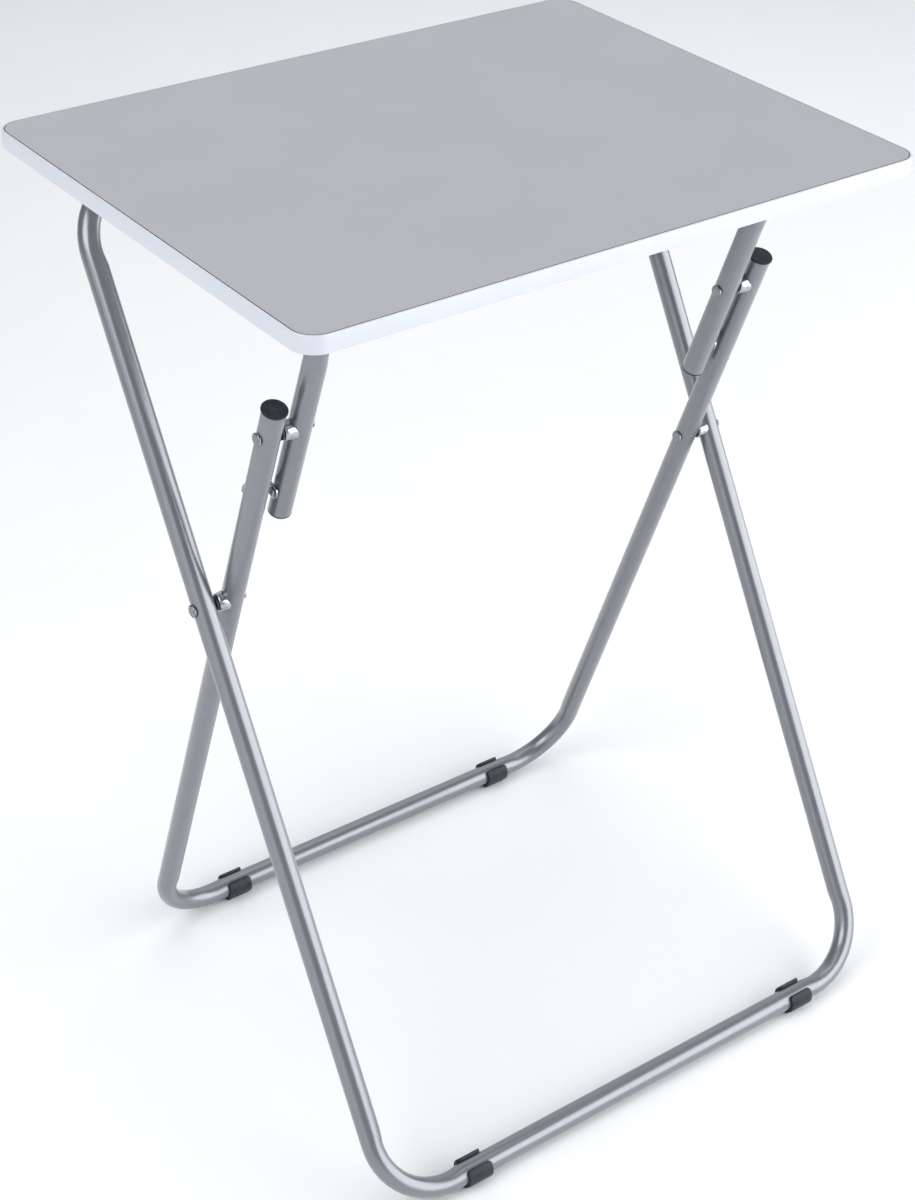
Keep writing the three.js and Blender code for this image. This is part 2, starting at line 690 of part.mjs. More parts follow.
const table = new THREE.Group();
table.position.y = BOARD_Y;
table.add(outerLegs, innerLegs, link, board);

export default table;
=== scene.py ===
"""Folding tray table: the visible pieces and finishes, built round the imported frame.

Everything is in metres in the frame's own axes: +Z up, front of the table towards -Y.
Each sub-assembly is modelled in its own upright plane, where Z runs along its tubes and the
origin is a pivot, and is then settled into its place at the pivot with the legs' lean.
"""

import json
import logging
import math
from collections.abc import Callable, Iterator
from contextlib import contextmanager
from dataclasses import dataclass, field
from enum import Enum

import bmesh
import bpy
from mathutils import Matrix, Quaternion, Vector


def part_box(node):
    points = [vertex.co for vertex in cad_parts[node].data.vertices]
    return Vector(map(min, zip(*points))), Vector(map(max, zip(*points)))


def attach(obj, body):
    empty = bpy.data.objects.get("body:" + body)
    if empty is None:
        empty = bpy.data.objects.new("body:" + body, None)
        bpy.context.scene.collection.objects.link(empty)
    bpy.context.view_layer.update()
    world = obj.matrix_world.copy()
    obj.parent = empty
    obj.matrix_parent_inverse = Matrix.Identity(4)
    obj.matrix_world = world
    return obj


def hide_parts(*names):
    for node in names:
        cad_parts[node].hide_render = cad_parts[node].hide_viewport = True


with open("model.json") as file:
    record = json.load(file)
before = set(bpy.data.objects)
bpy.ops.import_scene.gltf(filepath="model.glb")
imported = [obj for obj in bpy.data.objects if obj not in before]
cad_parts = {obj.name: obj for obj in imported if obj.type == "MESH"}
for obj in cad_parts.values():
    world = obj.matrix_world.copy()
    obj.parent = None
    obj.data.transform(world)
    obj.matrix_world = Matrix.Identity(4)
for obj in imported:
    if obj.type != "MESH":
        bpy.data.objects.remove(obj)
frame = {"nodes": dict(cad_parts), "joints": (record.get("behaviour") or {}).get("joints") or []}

log = logging.getLogger("tray_table")

MM = 0.001
GAP = 0.3 * MM  # clearance between pieces that touch
NEAR = 0.05 * MM  # how far from a plane an edit still picks things
SLACK = 0.1 * MM  # the same, on hooks and long rivets
WELD = 0.002 * MM
MIRROR_WELD = 0.01 * MM
FACING = 0.9  # share of a unit direction along an axis that counts as pointing along it
SQUARE_ON = 0.999  # the same, for a flat face beside rounded ones
LEVEL = 0.1  # rise of a unit direction under which it counts as level
NOISE_LOW = 0.3  # noise mostly lies between these two
NOISE_HIGH = 0.7
ROUND_SIDES = 64
COLLAR_SIDES = 48
HEAD_SIDES = 40
SMALL_SIDES = 32
BLIND_SIDES = 24


class Body(Enum):
    """The rigid bodies that pieces ride on."""

    OUTER_LEGS = "outer_legs"
    INNER_LEGS = "inner_legs"
    LINK = "link"
    BOARD = "board"


class Slot(Enum):
    """The record's material slots."""

    LEG_PAINT = "leg_paint"
    BRIGHT_STEEL = "bright_steel"
    DARK_PLASTIC = "dark_plastic"
    GREY_LAMINATE = "grey_laminate"
    SILVER_EDGING = "silver_edging"
    BACKING_SHEET = "backing_sheet"
    PRESSED_BOARD = "pressed_board"


class Side(Enum):
    """A side of the table, by the sign of its x."""

    LEFT = -1
    RIGHT = 1

    @property
    def word(self) -> str:
        """The side's name in a node's name."""
        return self.name.lower()


class Part(Enum):
    """What an edit picks."""

    VERTEX = "VERT"
    EDGE = "EDGE"
    FACE = "FACE"


Test = Callable[[Vector, Vector], bool]


# ------------------------------------------------------------------ modelling


class Bench:
    """The mesh operators, each used on one piece and on what was picked in code."""

    @staticmethod
    def clear() -> None:
        """Leaves edit mode and deselects everything."""
        active = bpy.context.view_layer.objects.active
        if active and active.mode != "OBJECT":
            bpy.ops.object.mode_set(mode="OBJECT")
        bpy.ops.object.select_all(action="DESELECT")

    @staticmethod
    def pick(*pieces: bpy.types.Object) -> None:
        """Selects only these pieces and makes the last one active.

        Args:
            pieces: the objects to select.
        """
        Bench.clear()
        for piece in pieces:
            piece.select_set(True)
        bpy.context.view_layer.objects.active = pieces[-1]

    @staticmethod
    def fix_place(piece: bpy.types.Object) -> bpy.types.Object:
        """Puts an object's place, turn and size into its mesh.

        Args:
            piece: the object, which ends at the origin.

        Returns:
            The same object.
        """
        Bench.pick(piece)
        bpy.ops.object.transform_apply(location=True, rotation=True, scale=True)
        return piece

    @staticmethod
    def block(size: tuple[float, float, float], centre: tuple[float, float, float]) -> bpy.types.Object:
        """Adds a box.

        Args:
            size: its length along each axis.
            centre: its middle.

        Returns:
            The box, with its place in its mesh.
        """
        Bench.clear()
        bpy.ops.mesh.primitive_cube_add(size=1, location=centre, scale=size)
        return Bench.fix_place(bpy.context.object)

    @staticmethod
    def rod(
        radius: float,
        start: Vector,
        end: Vector,
        sides: int = 48,
        end_radius: float | None = None,
    ) -> bpy.types.Object:
        """Adds a round rod, or a cone if its two radii differ.

        Args:
            radius: at the start.
            start: the middle of one end.
            end: the middle of the other end.
            sides: how many flats go round it.
            end_radius: at the end, or None for a straight rod.

        Returns:
            The rod, with its place in its mesh.
        """
        Bench.clear()
        along = end - start
        bpy.ops.mesh.primitive_cone_add(
            vertices=sides,
            radius1=radius,
            radius2=radius if end_radius is None else end_radius,
            depth=along.length,
            location=(start + end) / 2,
            rotation=along.to_track_quat("Z", "Y").to_euler(),
        )
        return Bench.fix_place(bpy.context.object)

    @staticmethod
    @contextmanager
    def shaping(piece: bpy.types.Object, part: Part = Part.FACE) -> Iterator[None]:
        """Edit mode on one piece, starting with nothing picked.

        Args:
            piece: the object to edit.
            part: what the edit picks.
        """
        Bench.pick(piece)
        bpy.ops.object.mode_set(mode="EDIT")
        bpy.ops.mesh.select_mode(type=part.value)
        bpy.ops.mesh.select_all(action="DESELECT")
        yield
        bpy.ops.object.mode_set(mode="OBJECT")

    @staticmethod
    def choose(piece: bpy.types.Object, part: Part, test: Test) -> None:
        """Picks, in edit mode, the vertices, edges or faces that a test accepts, and nothing else.

        Args:
            piece: the object in edit mode.
            part: what to pick, which becomes the select mode.
            test: gets the middle and the normal, or an edge's direction, of each.
        """
        bpy.ops.mesh.select_mode(type=part.value)
        bpy.ops.mesh.select_all(action="DESELECT")
        mesh = bmesh.from_edit_mesh(piece.data)
        mesh.normal_update()
        if part is Part.VERTEX:
            for vertex in mesh.verts:
                vertex.select_set(test(vertex.co, vertex.normal))
        elif part is Part.EDGE:
            for edge in mesh.edges:
                first, last = (vertex.co for vertex in edge.verts)
                edge.select_set(test((first + last) / 2, (last - first).normalized()))
        else:
            for face in mesh.faces:
                face.select_set(test(face.calc_center_median(), face.normal))
        mesh.select_flush_mode()
        bmesh.update_edit_mesh(piece.data)

    @staticmethod
    def draw_out(move: Vector, scale: Vector | None = None, about: Vector | None = None) -> None:
        """Extrudes what is picked, then scales the new end if asked.

        Args:
            move: how far the new end goes.
            scale: how the new end grows along each axis.
            about: the fixed point of the scaling, or None for the end's own middle.
        """
        bpy.ops.mesh.extrude_region_move(TRANSFORM_OT_translate={"value": move})
        if scale is not None and about is None:
            bpy.ops.transform.resize(value=scale)
        elif scale is not None:
            bpy.ops.transform.resize(value=scale, center_override=about)

    @staticmethod
    def round_edges(piece: bpy.types.Object, test: Test, width: float, steps: int = 4) -> None:
        """Bevels the edges that a test accepts.

        Args:
            piece: the object.
            test: gets each edge's middle and direction.
            width: the bevel's offset.
            steps: how many faces go across it.
        """
        with Bench.shaping(piece, Part.EDGE):
            Bench.choose(piece, Part.EDGE, test)
            bpy.ops.mesh.bevel(offset=width, segments=steps, profile=0.5, clamp_overlap=True)

    @staticmethod
    def apply(piece: bpy.types.Object, kind: str, **settings: object) -> None:
        """Adds a modifier, sets it and applies it.

        Args:
            piece: the object.
            kind: the modifier's type.
            settings: its properties by name.
        """
        Bench.pick(piece)
        modifier = piece.modifiers.new(kind.lower(), kind)
        for name, value in settings.items():
            setattr(modifier, name, value)
        bpy.ops.object.modifier_apply(modifier=modifier.name)

    @staticmethod
    def cut(piece: bpy.types.Object, *tools: bpy.types.Object, join: bool = False) -> None:
        """Cuts tools out of a piece, or joins them to it, and removes the tools.

        Args:
            piece: the object that stays.
            tools: closed objects.
            join: adds the tools instead of cutting them away.
        """
        for tool in tools:
            Bench.apply(
                piece,
                "BOOLEAN",
                operation="UNION" if join else "DIFFERENCE",
                solver="EXACT",
                object=tool,
            )
            bpy.data.objects.remove(tool)

    @staticmethod
    def soften(piece: bpy.types.Object, width: float, angle: float = 40, steps: int = 2) -> None:
        """Bevels every edge that is sharper than an angle.

        Args:
            piece: the object.
            width: the bevel's offset.
            angle: in degrees.
            steps: how many faces go across it.
        """
        Bench.apply(
            piece,
            "BEVEL",
            width=width,
            segments=steps,
            limit_method="ANGLE",
            angle_limit=math.radians(angle),
            miter_outer="MITER_ARC",
        )

    @staticmethod
    def face_out(piece: bpy.types.Object) -> None:
        """Merges a piece's doubles and turns all its faces outwards."""
        with Bench.shaping(piece):
            bpy.ops.mesh.select_all(action="SELECT")
            bpy.ops.mesh.remove_doubles(threshold=WELD)
            bpy.ops.mesh.normals_make_consistent(inside=False)

    @staticmethod
    def smooth(piece: bpy.types.Object, angle: float = 32) -> None:
        """Shades a piece smoothly, except across edges sharper than an angle in degrees."""
        Bench.pick(piece)
        bpy.ops.object.shade_smooth_by_angle(angle=math.radians(angle))

    @staticmethod
    def copy(piece: bpy.types.Object, move: Vector, mirrored: bool = False) -> bpy.types.Object:
        """Copies a piece with its own mesh.

        Args:
            piece: the object to copy.
            move: how far the copy goes.
            mirrored: turns the copy left for right about x = 0.

        Returns:
            The copy, with its place in its mesh.
        """
        Bench.pick(piece)
        bpy.ops.object.duplicate(linked=False)
        twin = bpy.context.object
        twin.location = move
        twin.scale.x = -1 if mirrored else 1
        Bench.fix_place(twin)
        if mirrored:
            Bench.face_out(twin)
            Bench.smooth(twin)
        return twin


@dataclass(frozen=True)
class Seat:
    """The place of a sub-assembly's own upright plane in the frame."""

    origin: Vector
    lean: float = 0.0  # top towards the front, in radians

    def settle(self, piece: bpy.types.Object) -> bpy.types.Object:
        """Moves a piece from its own plane to its place, and puts the place into its mesh."""
        piece.location = self.origin
        piece.rotation_euler.x = self.lean
        return Bench.fix_place(piece)


# ------------------------------------------------------------------ finishes


class NodeBoard:
    """A material's node tree, with short calls for the nodes that the finishes share."""

    def __init__(self, name: str) -> None:
        """Makes the material with a Principled shader and Object coordinates.

        Args:
            name: the material's name.
        """
        self.material = bpy.data.materials.new(name)
        self.material.use_nodes = True
        self.tree = self.material.node_tree
        self.tree.nodes.clear()
        self.shader = self.tree.nodes.new("ShaderNodeBsdfPrincipled")
        output = self.tree.nodes.new("ShaderNodeOutputMaterial")
        self.tree.links.new(self.shader.outputs["BSDF"], output.inputs["Surface"])
        self.place = self.tree.nodes.new("ShaderNodeTexCoord").outputs["Object"]

    def set(self, **values: object) -> None:
        """Sets sockets of the shader by name, with _ for each space."""
        for name, value in values.items():
            self.shader.inputs[name.replace("_", " ")].default_value = value

    def drawn_out(self, scale: tuple[float, float, float]) -> bpy.types.NodeSocket:
        """Object coordinates scaled by axis, for a pattern that runs along one of them.

        Args:
            scale: the factor on each axis.

        Returns:
            The scaled coordinates.
        """
        mapping = self.tree.nodes.new("ShaderNodeMapping")
        mapping.inputs["Scale"].default_value = scale
        self.tree.links.new(self.place, mapping.inputs["Vector"])
        return mapping.outputs["Vector"]

    def noise(
        self,
        scale: float,
        detail: float = 3,
        place: bpy.types.NodeSocket | None = None,
    ) -> bpy.types.NodeSocket:
        """Cloudy noise.

        Args:
            scale: cells to a metre.
            detail: how many finer layers it has.
            place: coordinates, or None for plain Object coordinates.

        Returns:
            The noise, from 0 to 1.
        """
        node = self.tree.nodes.new("ShaderNodeTexNoise")
        node.inputs["Scale"].default_value = scale
        node.inputs["Detail"].default_value = detail
        self.tree.links.new(place or self.place, node.inputs["Vector"])
        return node.outputs["Fac"]

    def cells(self, scale: float) -> bpy.types.NodeSocket:
        """The distance from the middle of each cell of a random cell pattern.

        Args:
            scale: cells to a metre.

        Returns:
            The distance, from 0 in a cell's middle.
        """
        node = self.tree.nodes.new("ShaderNodeTexVoronoi")
        node.inputs["Scale"].default_value = scale
        self.tree.links.new(self.place, node.inputs["Vector"])
        return node.outputs["Distance"]

    def spread(self, value: bpy.types.NodeSocket, low: float, high: float) -> bpy.types.NodeSocket:
        """Maps noise from its usual range to a range of values, easing in and out.

        Args:
            value: noise.
            low: the result where noise is low.
            high: the result where noise is high.

        Returns:
            The mapped value.
        """
        node = self.tree.nodes.new("ShaderNodeMapRange")
        node.interpolation_type = "SMOOTHSTEP"
        node.inputs["From Min"].default_value = NOISE_LOW
        node.inputs["From Max"].default_value = NOISE_HIGH
        node.inputs["To Min"].default_value = low
        node.inputs["To Max"].default_value = high
        self.tree.links.new(value, node.inputs["Value"])
        return node.outputs["Result"]

    def tint(
        self,
        value: bpy.types.NodeSocket,
        dark: tuple[float, float, float],
        light: tuple[float, float, float],
    ) -> bpy.types.NodeSocket:
        """Turns noise into a colour between two colours, easing in and out.

        Args:
            value: noise.
            dark: the colour where noise is low.
            light: the colour where noise is high.

        Returns:
            The colour.
        """
        node = self.tree.nodes.new("ShaderNodeValToRGB")
        node.color_ramp.interpolation = "EASE"
        node.color_ramp.elements[0].position = NOISE_LOW
        node.color_ramp.elements[0].color = (*dark, 1)
        node.color_ramp.elements[1].position = NOISE_HIGH
        node.color_ramp.elements[1].color = (*light, 1)
        self.tree.links.new(value, node.inputs["Fac"])
        return node.outputs["Color"]

    def bumps(self, *layers: tuple[bpy.types.NodeSocket, float]) -> None:
        """Stacks height patterns into the shader's normal.

        Args:
            layers: each a pattern and its height in metres.
        """
        before = None
        for height, depth in layers:
            bump = self.tree.nodes.new("ShaderNodeBump")
            bump.inputs["Strength"].default_value = 1
            bump.inputs["Distance"].default_value = depth
            self.tree.links.new(height, bump.inputs["Height"])
            if before:
                self.tree.links.new(before, bump.inputs["Normal"])
            before = bump.outputs["Normal"]
        self.tree.links.new(before, self.shader.inputs["Normal"])

    def feed(self, **sockets: bpy.types.NodeSocket) -> None:
        """Links patterns to sockets of the shader by name, with _ for each space."""
        for name, socket in sockets.items():
            self.tree.links.new(socket, self.shader.inputs[name.replace("_", " ")])


@dataclass(frozen=True)
class SatinPaint:
    """Silver-grey paint with a faint mottle and a soft orange-peel surface."""

    word = "painted"
    slot = Slot.LEG_PAINT
    dark: tuple[float, float, float] = (0.216, 0.227, 0.251)
    light: tuple[float, float, float] = (0.224, 0.235, 0.259)
    mottle: float = 90
    peel: float = 160
    sheen: float = 30
    roughness: tuple[float, float] = (0.285, 0.315)
    relief: float = 0.006 * MM

    def make(self) -> bpy.types.Material:
        """Builds the material."""
        board = NodeBoard("satin_silver_paint")
        board.set(Metallic=0.62, IOR=1.5, Coat_Weight=0.6, Coat_Roughness=0.2)
        board.feed(
            Base_Color=board.tint(board.noise(self.mottle, 1), self.dark, self.light),
            Roughness=board.spread(board.noise(self.sheen, 1), *self.roughness),
        )
        board.bumps((board.noise(self.peel, 1), self.relief))
        return board.material


@dataclass(frozen=True)
class BrightPlate:
    """Bright plating on small steel parts, with faint clouding and fine scuffs."""

    word = "plated"
    slot = Slot.BRIGHT_STEEL
    dark: tuple[float, float, float] = (0.36, 0.37, 0.39)
    light: tuple[float, float, float] = (0.52, 0.53, 0.55)
    cloud: float = 420
    scuff: float = 1500
    scuff_run: tuple[float, float, float] = (1, 1, 0.15)
    roughness: tuple[float, float] = (0.12, 0.2)
    relief: float = 0.004 * MM

    def make(self) -> bpy.types.Material:
        """Builds the material."""
        board = NodeBoard("bright_plate")
        board.set(Metallic=1.0)
        cloud = board.noise(self.cloud, 4)
        scuff = board.noise(self.scuff, 3, board.drawn_out(self.scuff_run))
        board.feed(
            Base_Color=board.tint(cloud, self.dark, self.light),
            Roughness=board.spread(scuff, *self.roughness),
        )
        board.bumps((scuff, self.relief))
        return board.material


@dataclass(frozen=True)
class BurnishedPlate:
    """The same plating, dulled to grey where a rivet was hammered over."""

    word = "burnished"
    slot = Slot.BRIGHT_STEEL
    dark: tuple[float, float, float] = (0.22, 0.23, 0.25)
    light: tuple[float, float, float] = (0.32, 0.33, 0.35)
    cloud: float = 520
    roughness: tuple[float, float] = (0.29, 0.37)

    def make(self) -> bpy.types.Material:
        """Builds the material."""
        board = NodeBoard("burnished_plate")
        board.set(Metallic=0.9)
        cloud = board.noise(self.cloud, 3)
        board.feed(
            Base_Color=board.tint(cloud, self.dark, self.light),
            Roughness=board.spread(cloud, *self.roughness),
        )
        return board.material


@dataclass(frozen=True)
class MouldedPlastic:
    """Dark grey moulded plastic with a fine spark-eroded grain."""

    word = "moulded"
    slot = Slot.DARK_PLASTIC
    dark: tuple[float, float, float] = (0.016, 0.018, 0.023)
    light: tuple[float, float, float] = (0.030, 0.033, 0.040)
    grain: float = 3200
    cloud: float = 180
    ripple: float = 700
    roughness: tuple[float, float] = (0.36, 0.50)
    grain_relief: float = 0.02 * MM
    ripple_relief: float = 0.01 * MM

    def make(self) -> bpy.types.Material:
        """Builds the material."""
        board = NodeBoard("dark_moulded_plastic")
        board.set(IOR=1.48, Specular_IOR_Level=0.28)
        grain = board.cells(self.grain)
        cloud = board.noise(self.cloud, 4)
        board.feed(
            Base_Color=board.tint(cloud, self.dark, self.light),
            Roughness=board.spread(cloud, *self.roughness),
        )
        board.bumps((grain, self.grain_relief), (board.noise(self.ripple, 3), self.ripple_relief))
        return board.material


@dataclass(frozen=True)
class GreyLaminate:
    """Plain light-grey laminate with a fine pebbled surface."""

    word = "pressed"
    slot = Slot.GREY_LAMINATE
    dark: tuple[float, float, float] = (0.352, 0.356, 0.379)
    light: tuple[float, float, float] = (0.377, 0.381, 0.407)
    pebble: float = 1300
    speck: float = 1900
    sheen: float = 14
    roughness: tuple[float, float] = (0.46, 0.56)
    relief: float = 0.012 * MM

    def make(self) -> bpy.types.Material:
        """Builds the material."""
        board = NodeBoard("grey_laminate")
        board.set(IOR=1.5)
        speck = board.noise(self.speck, 2)
        board.feed(
            Base_Color=board.tint(speck, self.dark, self.light),
            Roughness=board.spread(board.noise(self.sheen, 5), *self.roughness),
        )
        board.bumps((board.cells(self.pebble), self.relief))
        return board.material


@dataclass(frozen=True)
class LaminateCore:
    """The dark paper core that shows at a laminate's cut edge."""

    dark: tuple[float, float, float] = (0.012, 0.012, 0.016)
    light: tuple[float, float, float] = (0.030, 0.028, 0.030)
    fibre: float = 900
    sheen: float = 600
    roughness: tuple[float, float] = (0.55, 0.7)

    def make(self) -> bpy.types.Material:
        """Builds the material."""
        board = NodeBoard("laminate_core")
        board.feed(
            Base_Color=board.tint(board.noise(self.fibre, 4), self.dark, self.light),
            Roughness=board.spread(board.noise(self.sheen, 2), *self.roughness),
        )
        return board.material


@dataclass(frozen=True)
class EdgeBanding:
    """Glossy silver-white plastic strip."""

    word = "banded"
    slot = Slot.SILVER_EDGING
    dark: tuple[float, float, float] = (0.585, 0.62, 0.68)
    light: tuple[float, float, float] = (0.597, 0.632, 0.692)
    mottle: float = 25
    sheen: float = 30
    roughness: tuple[float, float] = (0.29, 0.32)

    def make(self) -> bpy.types.Material:
        """Builds the material."""
        board = NodeBoard("silver_edge_band")
        board.set(IOR=1.5, Coat_Weight=0.3, Coat_Roughness=0.08)
        board.feed(
            Base_Color=board.tint(board.noise(self.mottle, 1), self.dark, self.light),
            Roughness=board.spread(board.noise(self.sheen, 1), *self.roughness),
        )
        return board.material


@dataclass(frozen=True)
class BackingSheet:
    """Dull grey paper-faced balancing sheet under the board."""

    word = "backed"
    slot = Slot.BACKING_SHEET
    dark: tuple[float, float, float] = (0.40, 0.40, 0.41)
    light: tuple[float, float, float] = (0.50, 0.50, 0.51)
    fibre: float = 240
    fibre_run: tuple[float, float, float] = (1, 0.2, 1)
    roughness: tuple[float, float] = (0.66, 0.78)
    relief: float = 0.02 * MM

    def make(self) -> bpy.types.Material:
        """Builds the material."""
        board = NodeBoard("backing_sheet")
        fibre = board.noise(self.fibre, 6, board.drawn_out(self.fibre_run))
        board.feed(
            Base_Color=board.tint(fibre, self.dark, self.light),
            Roughness=board.spread(fibre, *self.roughness),
        )
        board.bumps((fibre, self.relief))
        return board.material


@dataclass(frozen=True)
class PressedBoard:
    """Raw fibreboard, seen only in the screw holes."""

    word = "raw"
    slot = Slot.PRESSED_BOARD
    dark: tuple[float, float, float] = (0.26, 0.17, 0.10)
    light: tuple[float, float, float] = (0.42, 0.30, 0.18)
    fibre: float = 700
    fibre_run: tuple[float, float, float] = (1, 1, 4)
    roughness: tuple[float, float] = (0.8, 0.92)
    relief: float = 0.05 * MM

    def make(self) -> bpy.types.Material:
        """Builds the material."""
        board = NodeBoard("pressed_board")
        fibre = board.noise(self.fibre, 6, board.drawn_out(self.fibre_run))
        board.feed(
            Base_Color=board.tint(fibre, self.dark, self.light),
            Roughness=board.spread(fibre, *self.roughness),
        )
        board.bumps((fibre, self.relief))
        return board.material


@dataclass(frozen=True)
class StudioPaper:
    """The pale paper floor of the studio."""

    dark: tuple[float, float, float] = (0.895, 0.90, 0.91)
    light: tuple[float, float, float] = (0.905, 0.91, 0.92)
    mottle: float = 9
    sheen: float = 120
    roughness: tuple[float, float] = (0.7, 0.8)

    def make(self) -> bpy.types.Material:
        """Builds the material."""
        board = NodeBoard("studio_paper")
        board.feed(
            Base_Color=board.tint(board.noise(self.mottle, 5), self.dark, self.light),
            Roughness=board.spread(board.noise(self.sheen, 4), *self.roughness),
        )
        return board.material


Finish = (
    SatinPaint
    | BrightPlate
    | BurnishedPlate
    | MouldedPlastic
    | GreyLaminate
    | EdgeBanding
    | BackingSheet
    | PressedBoard
)


class Workshop:
    """Makes each finish once, dresses pieces in them and hands pieces to their bodies."""

    def __init__(self) -> None:
        """Starts with no finish made."""
        self.made: dict[str, bpy.types.Material] = {}

    def material(self, finish: Finish) -> bpy.types.Material:
        """The material of a finish, made the first time that it is asked for."""
        if finish.word not in self.made:
            self.made[finish.word] = finish.make()
        return self.made[finish.word]

    def present(self, piece: bpy.types.Object, node: str, body: Body, finish: Finish) -> None:
        """Names a finished piece, dresses it, and lets it stand for its CAD node.

        Args:
            piece: the object, in place.
            node: the CAD node that it replaces.
            body: the body that it rides on.
            finish: its finish.
        """
        piece.name = f"{finish.word}_{node}"
        piece.data.name = piece.name
        piece.data.materials.clear()
        piece.data.materials.append(self.material(finish))
        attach(piece, body.value)
        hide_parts(node)
        log.info("%s: %d faces, rides on %s", piece.name, len(piece.data.polygons), body.value)

    def dress(self, node: str, finish: Finish) -> None:
        """Gives a CAD node that is kept as it is a finish.

        Args:
            node: the CAD node.
            finish: its finish.
        """
        piece = frame["nodes"][node]
        piece.data.materials.clear()
        piece.data.materials.append(self.material(finish))
        log.info("%s: kept, with the %s finish", node, finish.word)


# ------------------------------------------------------------------ the linkage's places


@dataclass(frozen=True)
class Stance:
    """Where the pivots and tubes of the open table are, worked out from the frame."""

    main_pivot: Vector
    link_pivot: Vector
    link_bar: Vector
    outer_lean: float  # top towards the back, in radians
    inner_lean: float  # top towards the front, in radians

    @classmethod
    def read(cls) -> "Stance":
        """Reads the joints of the frame."""
        joints = {joint["name"]: joint for joint in frame["joints"]}
        places = [Vector(joints[name]["pos_m"]) for name in ("leg_fold", "link_swing", "board_tip")]
        arm = places[1] - places[0]
        inner_lean = math.atan2(-arm.y, arm.z)
        fold = math.radians(max(joints["leg_fold"]["range_deg"]))
        return cls(*places, outer_lean=fold - inner_lean, inner_lean=inner_lean)

    @property
    def outer(self) -> Seat:
        """The outer legs' plane, with its origin on the main pivot."""
        return Seat(self.main_pivot, -self.outer_lean)

    @property
    def inner(self) -> Seat:
        """The inner legs' plane, with its origin on the main pivot."""
        return Seat(self.main_pivot, self.inner_lean)

    @property
    def link(self) -> Seat:
        """The link's plane, with its origin on the link pivot."""
        return Seat(self.link_pivot, self.inner_lean)

    def along(self, lean: float, height: float) -> float:
        """The distance from the main pivot, along legs of a lean, to a height above the floor."""
        return (height - self.main_pivot.z) / math.cos(lean)


# ------------------------------------------------------------------ tube


@dataclass(frozen=True)
class TubeStock:
    """Thin steel tube, bent on a former that flattens each bend a little."""

    radius: float = 8 * MM
    wall: float = 1 * MM
    sides: int = 48
    bend_steps: int = 14
    squeeze: float = 0.93  # thickness left across a bend, in its plane
    ease: float = 9 * MM  # length over which a bend's flattening starts and ends

    def begin(self, height: float) -> bpy.types.Object:
        """Adds the tube's outline at x = 0, facing along X.

        Args:
            height: of the tube's middle.

        Returns:
            The ring.
        """
        Bench.clear()
        bpy.ops.mesh.primitive_circle_add(
            vertices=self.sides,
            radius=self.radius,
            location=(0, 0, height),
            rotation=(0, math.pi / 2, 0),
        )
        return Bench.fix_place(bpy.context.object)

    def run(self, way: Vector, length: float) -> None:
        """Draws the open end straight on, in edit mode.

        Args:
            way: the unit direction.
            length: how far.
        """
        Bench.draw_out(way * length)

    def turn(self, corner: Vector, way: Vector, new_way: Vector, bend: float) -> None:
        """Bends the tube a quarter turn upwards or inwards, in edit mode.

        The end's inner side steps in towards the outer side where the bend starts, and back out
        where it ends.

        Args:
            corner: where the two straight middle lines cross.
            way: the direction before the bend.
            new_way: the direction after it.
            bend: the bend's radius.
        """
        before = corner - way * bend
        after = corner + new_way * bend
        self.pinch(way, before - new_way * self.radius, new_way, self.squeeze)
        bpy.ops.mesh.spin(
            steps=self.bend_steps,
            angle=math.pi / 2,
            center=before + new_way * bend,
            axis=(0, 1, 0),
        )
        self.pinch(new_way, after + new_way * self.ease + way * self.radius, way, 1 / self.squeeze)

    def pinch(self, way: Vector, edge: Vector, across: Vector, share: float) -> None:
        """Draws the end on by the ease and scales it across the bend.

        Args:
            way: the unit direction that the end faces.
            edge: a point on the outer edge, which stays.
            across: the unit direction of the scaling.
            share: the scale.
        """
        scale = Vector([1 + (share - 1) * abs(axis) for axis in across])
        Bench.draw_out(way * self.ease, scale, edge)

    def close(self, piece: bpy.types.Object) -> None:
        """Mirrors a half tube to the left, faces it outwards and gives it its wall."""
        Bench.apply(piece, "MIRROR", merge_threshold=MIRROR_WELD)
        Bench.face_out(piece)
        Bench.apply(piece, "SOLIDIFY", thickness=self.wall, offset=-1)


# ------------------------------------------------------------------ pivots


@dataclass(frozen=True)
class Saddle:
    """The outline of a collar, from its flat end to the end that fits a tube."""

    end_radius: float
    saddle_radius: float
    lap: float  # how far it reaches round its tube
    soft: float  # rounding of the flat end


